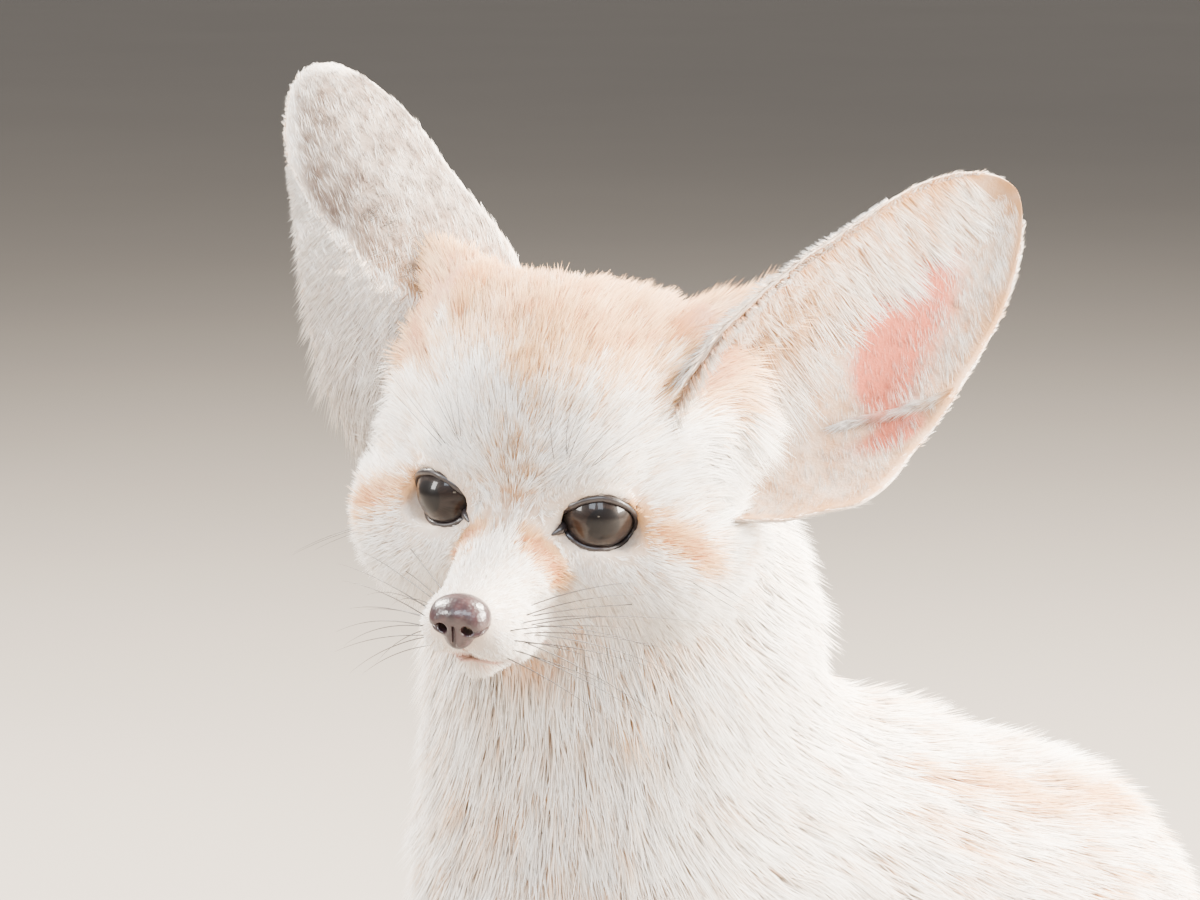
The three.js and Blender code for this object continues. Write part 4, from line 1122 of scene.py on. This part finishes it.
coatColours = {
    "White": (0.88, 0.84, 0.785, 1), "Sand": (0.64, 0.37, 0.165, 1), "Rust": (0.42, 0.15, 0.035, 1),
    "Dark": (0.07, 0.04, 0.03, 1), "Pink": (0.72, 0.19, 0.11, 1),
}
coatShares = {"Variation": 0.45, "Tip Fade": 0.4, "Root Shade": 0.8}
rootShadeTint, strandTint = (0.72, 0.57, 0.46, 1), (0.5, 0.42, 0.36, 1)
tones, tonesIn, tonesOut = newGroup(
    "Coat tones",
    [(name, "Color", value) for name, value in coatColours.items()]
    + [(name, "Float", value) for name, value in coatShares.items()],
    [("Color", "Color"), ("Shade", "Float")])
marksOf = addNode(tones, "Attribute", {"attribute_name": "marks"}).outputs["Vector"]
strandOf = addNode(tones, "Attribute", {"attribute_name": "strand"}).outputs["Vector"]
rootOf = addNode(tones, "Attribute", {"attribute_name": "root"}).outputs["Vector"]
sandMarkAndWarmLight, darkMarkAndShade, pinkMarkAndGlow = addNode(tones, "SeparateXYZ", i0=marksOf).outputs
toTip, pick, _ = addNode(tones, "SeparateXYZ", i0=strandOf).outputs

# How far each place and each hair wanders from its marking.
mottle = maths(tones, "SUBTRACT", noise(tones, rootOf, 260.0, 3.0), 0.5)
blotch = maths(tones, "SUBTRACT", noise(tones, rootOf, 60.0, 2.0), 0.5)
wander = maths(tones, "ADD", mottle, maths(tones, "MULTIPLY", blotch, 0.7))
wander = maths(tones, "ADD", wander, maths(tones, "SUBTRACT", pick, 0.5))
wander = maths(tones, "MULTIPLY", wander, tonesIn.outputs["Variation"])

# White to sand to rust, paler towards the tips.
fade = maths(tones, "MULTIPLY", maths(tones, "SUBTRACT", 0.45, toTip), tonesIn.outputs["Tip Fade"])
fade = maths(tones, "MULTIPLY", fade, maths(tones, "MULTIPLY", sandMarkAndWarmLight, 3.0, clamp=True))
sandy = maths(tones, "ADD", maths(tones, "ADD", sandMarkAndWarmLight, wander), fade)
toned = colourMix(tones, remap(tones, sandy, 0.05, 0.6), tonesIn.outputs["White"], tonesIn.outputs["Sand"])
toned = colourMix(tones, remap(tones, sandy, 0.55, 1.1), toned, tonesIn.outputs["Rust"])

# Pink and dark over it: the markings, with the painted shade on the ear backs and the painted glow inside the
# ears.
pinkness = maths(tones, "ADD", pinkMarkAndGlow, maths(tones, "MULTIPLY", wander, 0.5))
toned = colourMix(tones, remap(tones, pinkness, 0.1, 0.9), toned, tonesIn.outputs["Pink"])
darkShare = maths(tones, "MINIMUM", maths(tones, "MULTIPLY", darkMarkAndShade, 3.0), 1.0)
darkness = maths(tones, "ADD", darkMarkAndShade, maths(tones, "MULTIPLY", wander, darkShare))
toned = colourMix(tones, remap(tones, darkness, 0.1, 0.95), toned, tonesIn.outputs["Dark"])

# Darker at the roots: partly the hair's own colour, partly painted shade deep in the coat. Some hairs are
# duller than others.
shade = maths(tones, "SUBTRACT", 1.0, remap(tones, toTip, 0.0, 0.75))
shade = maths(tones, "MULTIPLY", shade, tonesIn.outputs["Root Shade"])
toned = colourMix(tones, shade, toned, colourMix(tones, 1.0, toned, rootShadeTint, "MULTIPLY"))
apart = addNode(tones, "TexWhiteNoise", {"noise_dimensions": "1D"}, W=pick).outputs[0]
apart = maths(tones, "POWER", apart, 2.0)
dulled = colourMix(tones, 1.0, toned, strandTint, "MULTIPLY")
dullness = maths(tones, "MULTIPLY", apart, maths(tones, "MULTIPLY", tonesIn.outputs["Variation"], 1.6))
tones.links.new(colourMix(tones, dullness, toned, dulled), tonesOut.inputs["Color"])
tones.links.new(sandy, tonesOut.inputs["Shade"])


def material(name, build):
    made = bpy.data.materials.new(name)
    made.use_nodes = True
    tree = made.node_tree
    shader = next(n for n in tree.nodes if n.type == "BSDF_PRINCIPLED")
    for socket, value in build(tree).items():
        if isinstance(value, bpy.types.NodeSocket):
            tree.links.new(value, shader.inputs[socket])
        else:
            shader.inputs[socket].default_value = value
    return made


def groupNode(tree, group, **inputs):
    node = tree.nodes.new("ShaderNodeGroup")
    node.node_tree = group
    for key, value in inputs.items():
        socket = node.inputs[key.replace("_", " ")]
        if isinstance(value, bpy.types.NodeSocket):
            tree.links.new(value, socket)
        else:
            socket.default_value = value
    return node


def bumpOf(tree, height, strength, distance):
    return addNode(tree, "Bump", Height=height, Strength=strength, Distance=distance).outputs[0]


def attribute(tree, name):
    return addNode(tree, "Attribute", {"attribute_name": name}).outputs["Vector"]


def coatLook(tree):
    tone = groupNode(tree, tones)
    rough = remap(tree, tone.outputs["Shade"], 0.0, 1.0, 0.62, 0.55)
    return {"Base Color": tone.outputs["Color"], "Roughness": rough, "Specular IOR Level": 0.35,
            "Sheen Weight": 0.15, "Sheen Roughness": 0.4}


def skinLook(tree):
    # Painted shade: the skin is darkened a little, as if deep under the coat.
    tone = groupNode(tree, tones, Root_Shade=0.3)
    root = attribute(tree, "root")
    fine = noise(tree, root, 1700.0, 4.0)
    return {"Base Color": tone.outputs["Color"], "Roughness": remap(tree, fine, 0.3, 0.7, 0.66, 0.8),
            "Specular IOR Level": 0.3, "Normal": bumpOf(tree, fine, 0.35, 0.0004)}


def leatherLook(tree):
    root = attribute(tree, "root")
    cells = addNode(tree, "TexVoronoi", Vector=root, Scale=1500.0).outputs[0]
    patch = noise(tree, root, 500.0)
    colour = colourMix(tree, remap(tree, patch, 0.3, 0.7), (0.018, 0.008, 0.01, 1), (0.04, 0.017, 0.018, 1))
    return {"Base Color": colour, "Roughness": remap(tree, cells, 0.0, 0.7, 0.42, 0.28),
            "Specular IOR Level": 0.6, "Coat Weight": 0.12, "Coat Roughness": 0.25,
            "Normal": bumpOf(tree, cells, 0.35, 0.00015)}


def lipLook(tree):
    where = addNode(tree, "TexCoord").outputs["Object"]
    patch = noise(tree, where, 700.0)
    colour = colourMix(tree, patch, (0.3, 0.17, 0.14, 1), (0.5, 0.32, 0.26, 1))
    return {"Base Color": colour, "Roughness": 0.5, "Normal": bumpOf(tree, patch, 0.3, 0.0002)}


def rimLook(tree):
    where = addNode(tree, "TexCoord").outputs["Object"]
    patch = noise(tree, where, 900.0)
    colour = colourMix(tree, patch, (0.006, 0.004, 0.005, 1), (0.02, 0.013, 0.013, 1))
    return {"Base Color": colour, "Roughness": 0.38, "Coat Weight": 0.2, "Coat Roughness": 0.15,
            "Normal": bumpOf(tree, patch, 0.3, 0.0002)}


def bristleLook(tree):
    where = addNode(tree, "TexCoord").outputs["Object"]
    patch = noise(tree, where, 120.0)
    colour = colourMix(tree, patch, (0.015, 0.011, 0.01, 1), (0.06, 0.045, 0.04, 1))
    return {"Base Color": colour, "Roughness": 0.4}


def clawLook(tree):
    where = addNode(tree, "TexCoord").outputs["Object"]
    patch = noise(tree, where, 700.0)
    colour = colourMix(tree, patch, (0.07, 0.045, 0.03, 1), (0.2, 0.14, 0.1, 1))
    return {"Base Color": colour, "Roughness": 0.35, "Coat Weight": 0.15,
            "Normal": bumpOf(tree, patch, 0.2, 0.0002)}


def eyeLookOf(tree):
    local = attribute(tree, "iris")
    apart = addNode(tree, "SeparateXYZ", i0=local).outputs
    square = maths(tree, "ADD", maths(tree, "POWER", apart[0], 2.0), maths(tree, "POWER", apart[1], 2.0))
    far = maths(tree, "SQRT", square)
    turn = maths(tree, "ARCTAN2", apart[1], apart[0])
    sine = maths(tree, "MULTIPLY", maths(tree, "SINE", turn), 9.0)
    cosine = maths(tree, "MULTIPLY", maths(tree, "COSINE", turn), 9.0)
    rays = addNode(tree, "CombineXYZ", i0=sine, i1=cosine, i2=maths(tree, "MULTIPLY", far, 2.0)).outputs[0]
    fibre = noise(tree, rays, 2.2, 3.0)
    iris = colourMix(tree, remap(tree, fibre, 0.3, 0.7), (0.009, 0.006, 0.005, 1), (0.017, 0.011, 0.009, 1))
    pupil = remap(tree, far, eyeLook["pupil"] - 0.03, eyeLook["pupil"] + 0.03)
    colour = colourMix(tree, pupil, (0.005, 0.004, 0.004, 1), iris)
    edge = remap(tree, far, eyeLook["iris"] - 0.14, eyeLook["iris"])
    colour = colourMix(tree, edge, colour, (0.006, 0.004, 0.003, 1))
    colour = colourMix(tree, remap(tree, far, 0.95, 0.98), colour, (0.06, 0.035, 0.025, 1))
    return {"Base Color": colour, "Roughness": 0.35, "Specular IOR Level": 0.1,
            "Coat Weight": 0.55, "Coat Roughness": 0.02, "Coat IOR": 1.36}


coatMaterial = material("Coat", coatLook)
for piece in coatPieces:
    piece.data.materials.append(coatMaterial)
skin.data.materials.append(material("Skin", skinLook))
nosePiece.data.materials.append(material("Nose leather", leatherLook))
rimMaterial = material("Dark rim", rimLook)
for piece in (lids, corners):
    piece.data.materials.append(rimMaterial)
lips.data.materials.append(material("Lips", lipLook))
whiskers.data.materials.append(material("Whisker", bristleLook))
claws.data.materials.append(material("Claw", clawLook))
eyeMaterial = material("Eye", eyeLookOf)
for piece in eyePieces:
    piece.data.materials.append(eyeMaterial)


# The pale floor, the studio light and the camera at the photo's viewing angle.
print("stage")
stage = {
    "floor": (0.25, 0.222, 0.195, 1), "floorPatch": (0.275, 0.245, 0.215, 1),
    "world": (1.0, 0.98, 0.96, 1), "worldStrength": 0.5, "halfSide": 30.0,
}


def floorLook(tree):
    where = addNode(tree, "TexCoord").outputs["Object"]
    patch = noise(tree, where, 3.0)
    return {"Base Color": colourMix(tree, patch, stage["floor"], stage["floorPatch"]), "Roughness": 0.8}


side = stage["halfSide"]
floorCorners = np.array([(-side, -side, 0), (side, -side, 0), (side, side, 0), (-side, side, 0)])
floor = meshObject("floor", floorCorners, [[0, 1, 2, 3]], False)
floor.data.materials.append(material("Pale floor", floorLook))

world = bpy.data.worlds.new("Studio") if not bpy.context.scene.world else bpy.context.scene.world
bpy.context.scene.world = world
world.use_nodes = True
background = next(n for n in world.node_tree.nodes if n.type == "BACKGROUND")
background.inputs["Color"].default_value = stage["world"]
background.inputs["Strength"].default_value = stage["worldStrength"]

# The camera stands where the photo's did: its angle round the fox, its height and its distance.
view = {
    "round": 62, "height": 8, "aim": (31, -37, 222), "distance": 980, "right": 15.7, "up": 12.35,
    "lens": 150, "sensor": 36,
}
angle, height = math.radians(view["round"]), math.radians(view["height"])
level = math.cos(height)
towards = np.array([math.sin(angle) * level, -math.cos(angle) * level, math.sin(height)])
rightwards = np.array([math.cos(angle), math.sin(angle), 0])
upwards = np.cross(towards, rightwards)
aim = toModel(view["aim"])
cameraPlace = aim + (rightwards * view["right"] + upwards * view["up"] + towards * view["distance"]) * mm


def aimed(place, ahead):
    turn = Vector(ahead).to_track_quat("-Z", "Y")
    return Matrix.Translation(Vector(place)) @ turn.to_matrix().to_4x4()


camera = bpy.data.objects.new("camera", bpy.data.cameras.new("camera"))
camera.data.lens = view["lens"]
camera.data.sensor_width = view["sensor"]
camera.matrix_world = aimed(cameraPlace, -towards)
bpy.context.scene.collection.objects.link(camera)
bpy.context.scene.camera = camera

# Each light's place from the aim in metres, its size in metres, its power in watts and its colour.
lightSet = {
    "window_left": {"place": (-0.3, 0.5, 0.9), "size": (0.34, 0.5), "power": 11, "colour": (0.78, 0.88, 1.0)},
    "window_right": {"place": (0.14, 0.5, 0.9), "size": (0.3, 0.5), "power": 8, "colour": (0.78, 0.88, 1.0)},
    "far_window": {"place": (-0.95, 0.3, 0.55), "size": (0.3, 0.4), "power": 22, "colour": (1.0, 0.97, 0.92)},
    "flank": {"place": (1.0, 0.3, 0.15), "size": (0.5, 0.5), "power": 120, "colour": (1.0, 0.93, 0.82)},
    "low": {"place": (0.02, -0.12, 0.9), "size": (0.12, 0.06), "power": 0.5, "colour": (1.0, 0.85, 0.65)},
    "sun": {"place": (0.85, 1.1, -0.3), "size": (0.45, 0.45), "power": 190, "colour": (1.0, 0.91, 0.78)},
    "back": {"place": (-0.75, 0.9, -0.45), "size": (0.45, 0.45), "power": 90, "colour": (1.0, 0.93, 0.84)},
}
for name, light in lightSet.items():
    lamp = bpy.data.lights.new(name, "AREA")
    lamp.shape = "RECTANGLE"
    lamp.size, lamp.size_y = light["size"]
    lamp.energy = light["power"]
    lamp.color = light["colour"]
    holder = bpy.data.objects.new(name, lamp)
    right, up, ahead = light["place"]
    place = aim + rightwards * right + upwards * up + towards * ahead
    holder.matrix_world = aimed(place, aim - place)
    bpy.context.scene.collection.objects.link(holder)
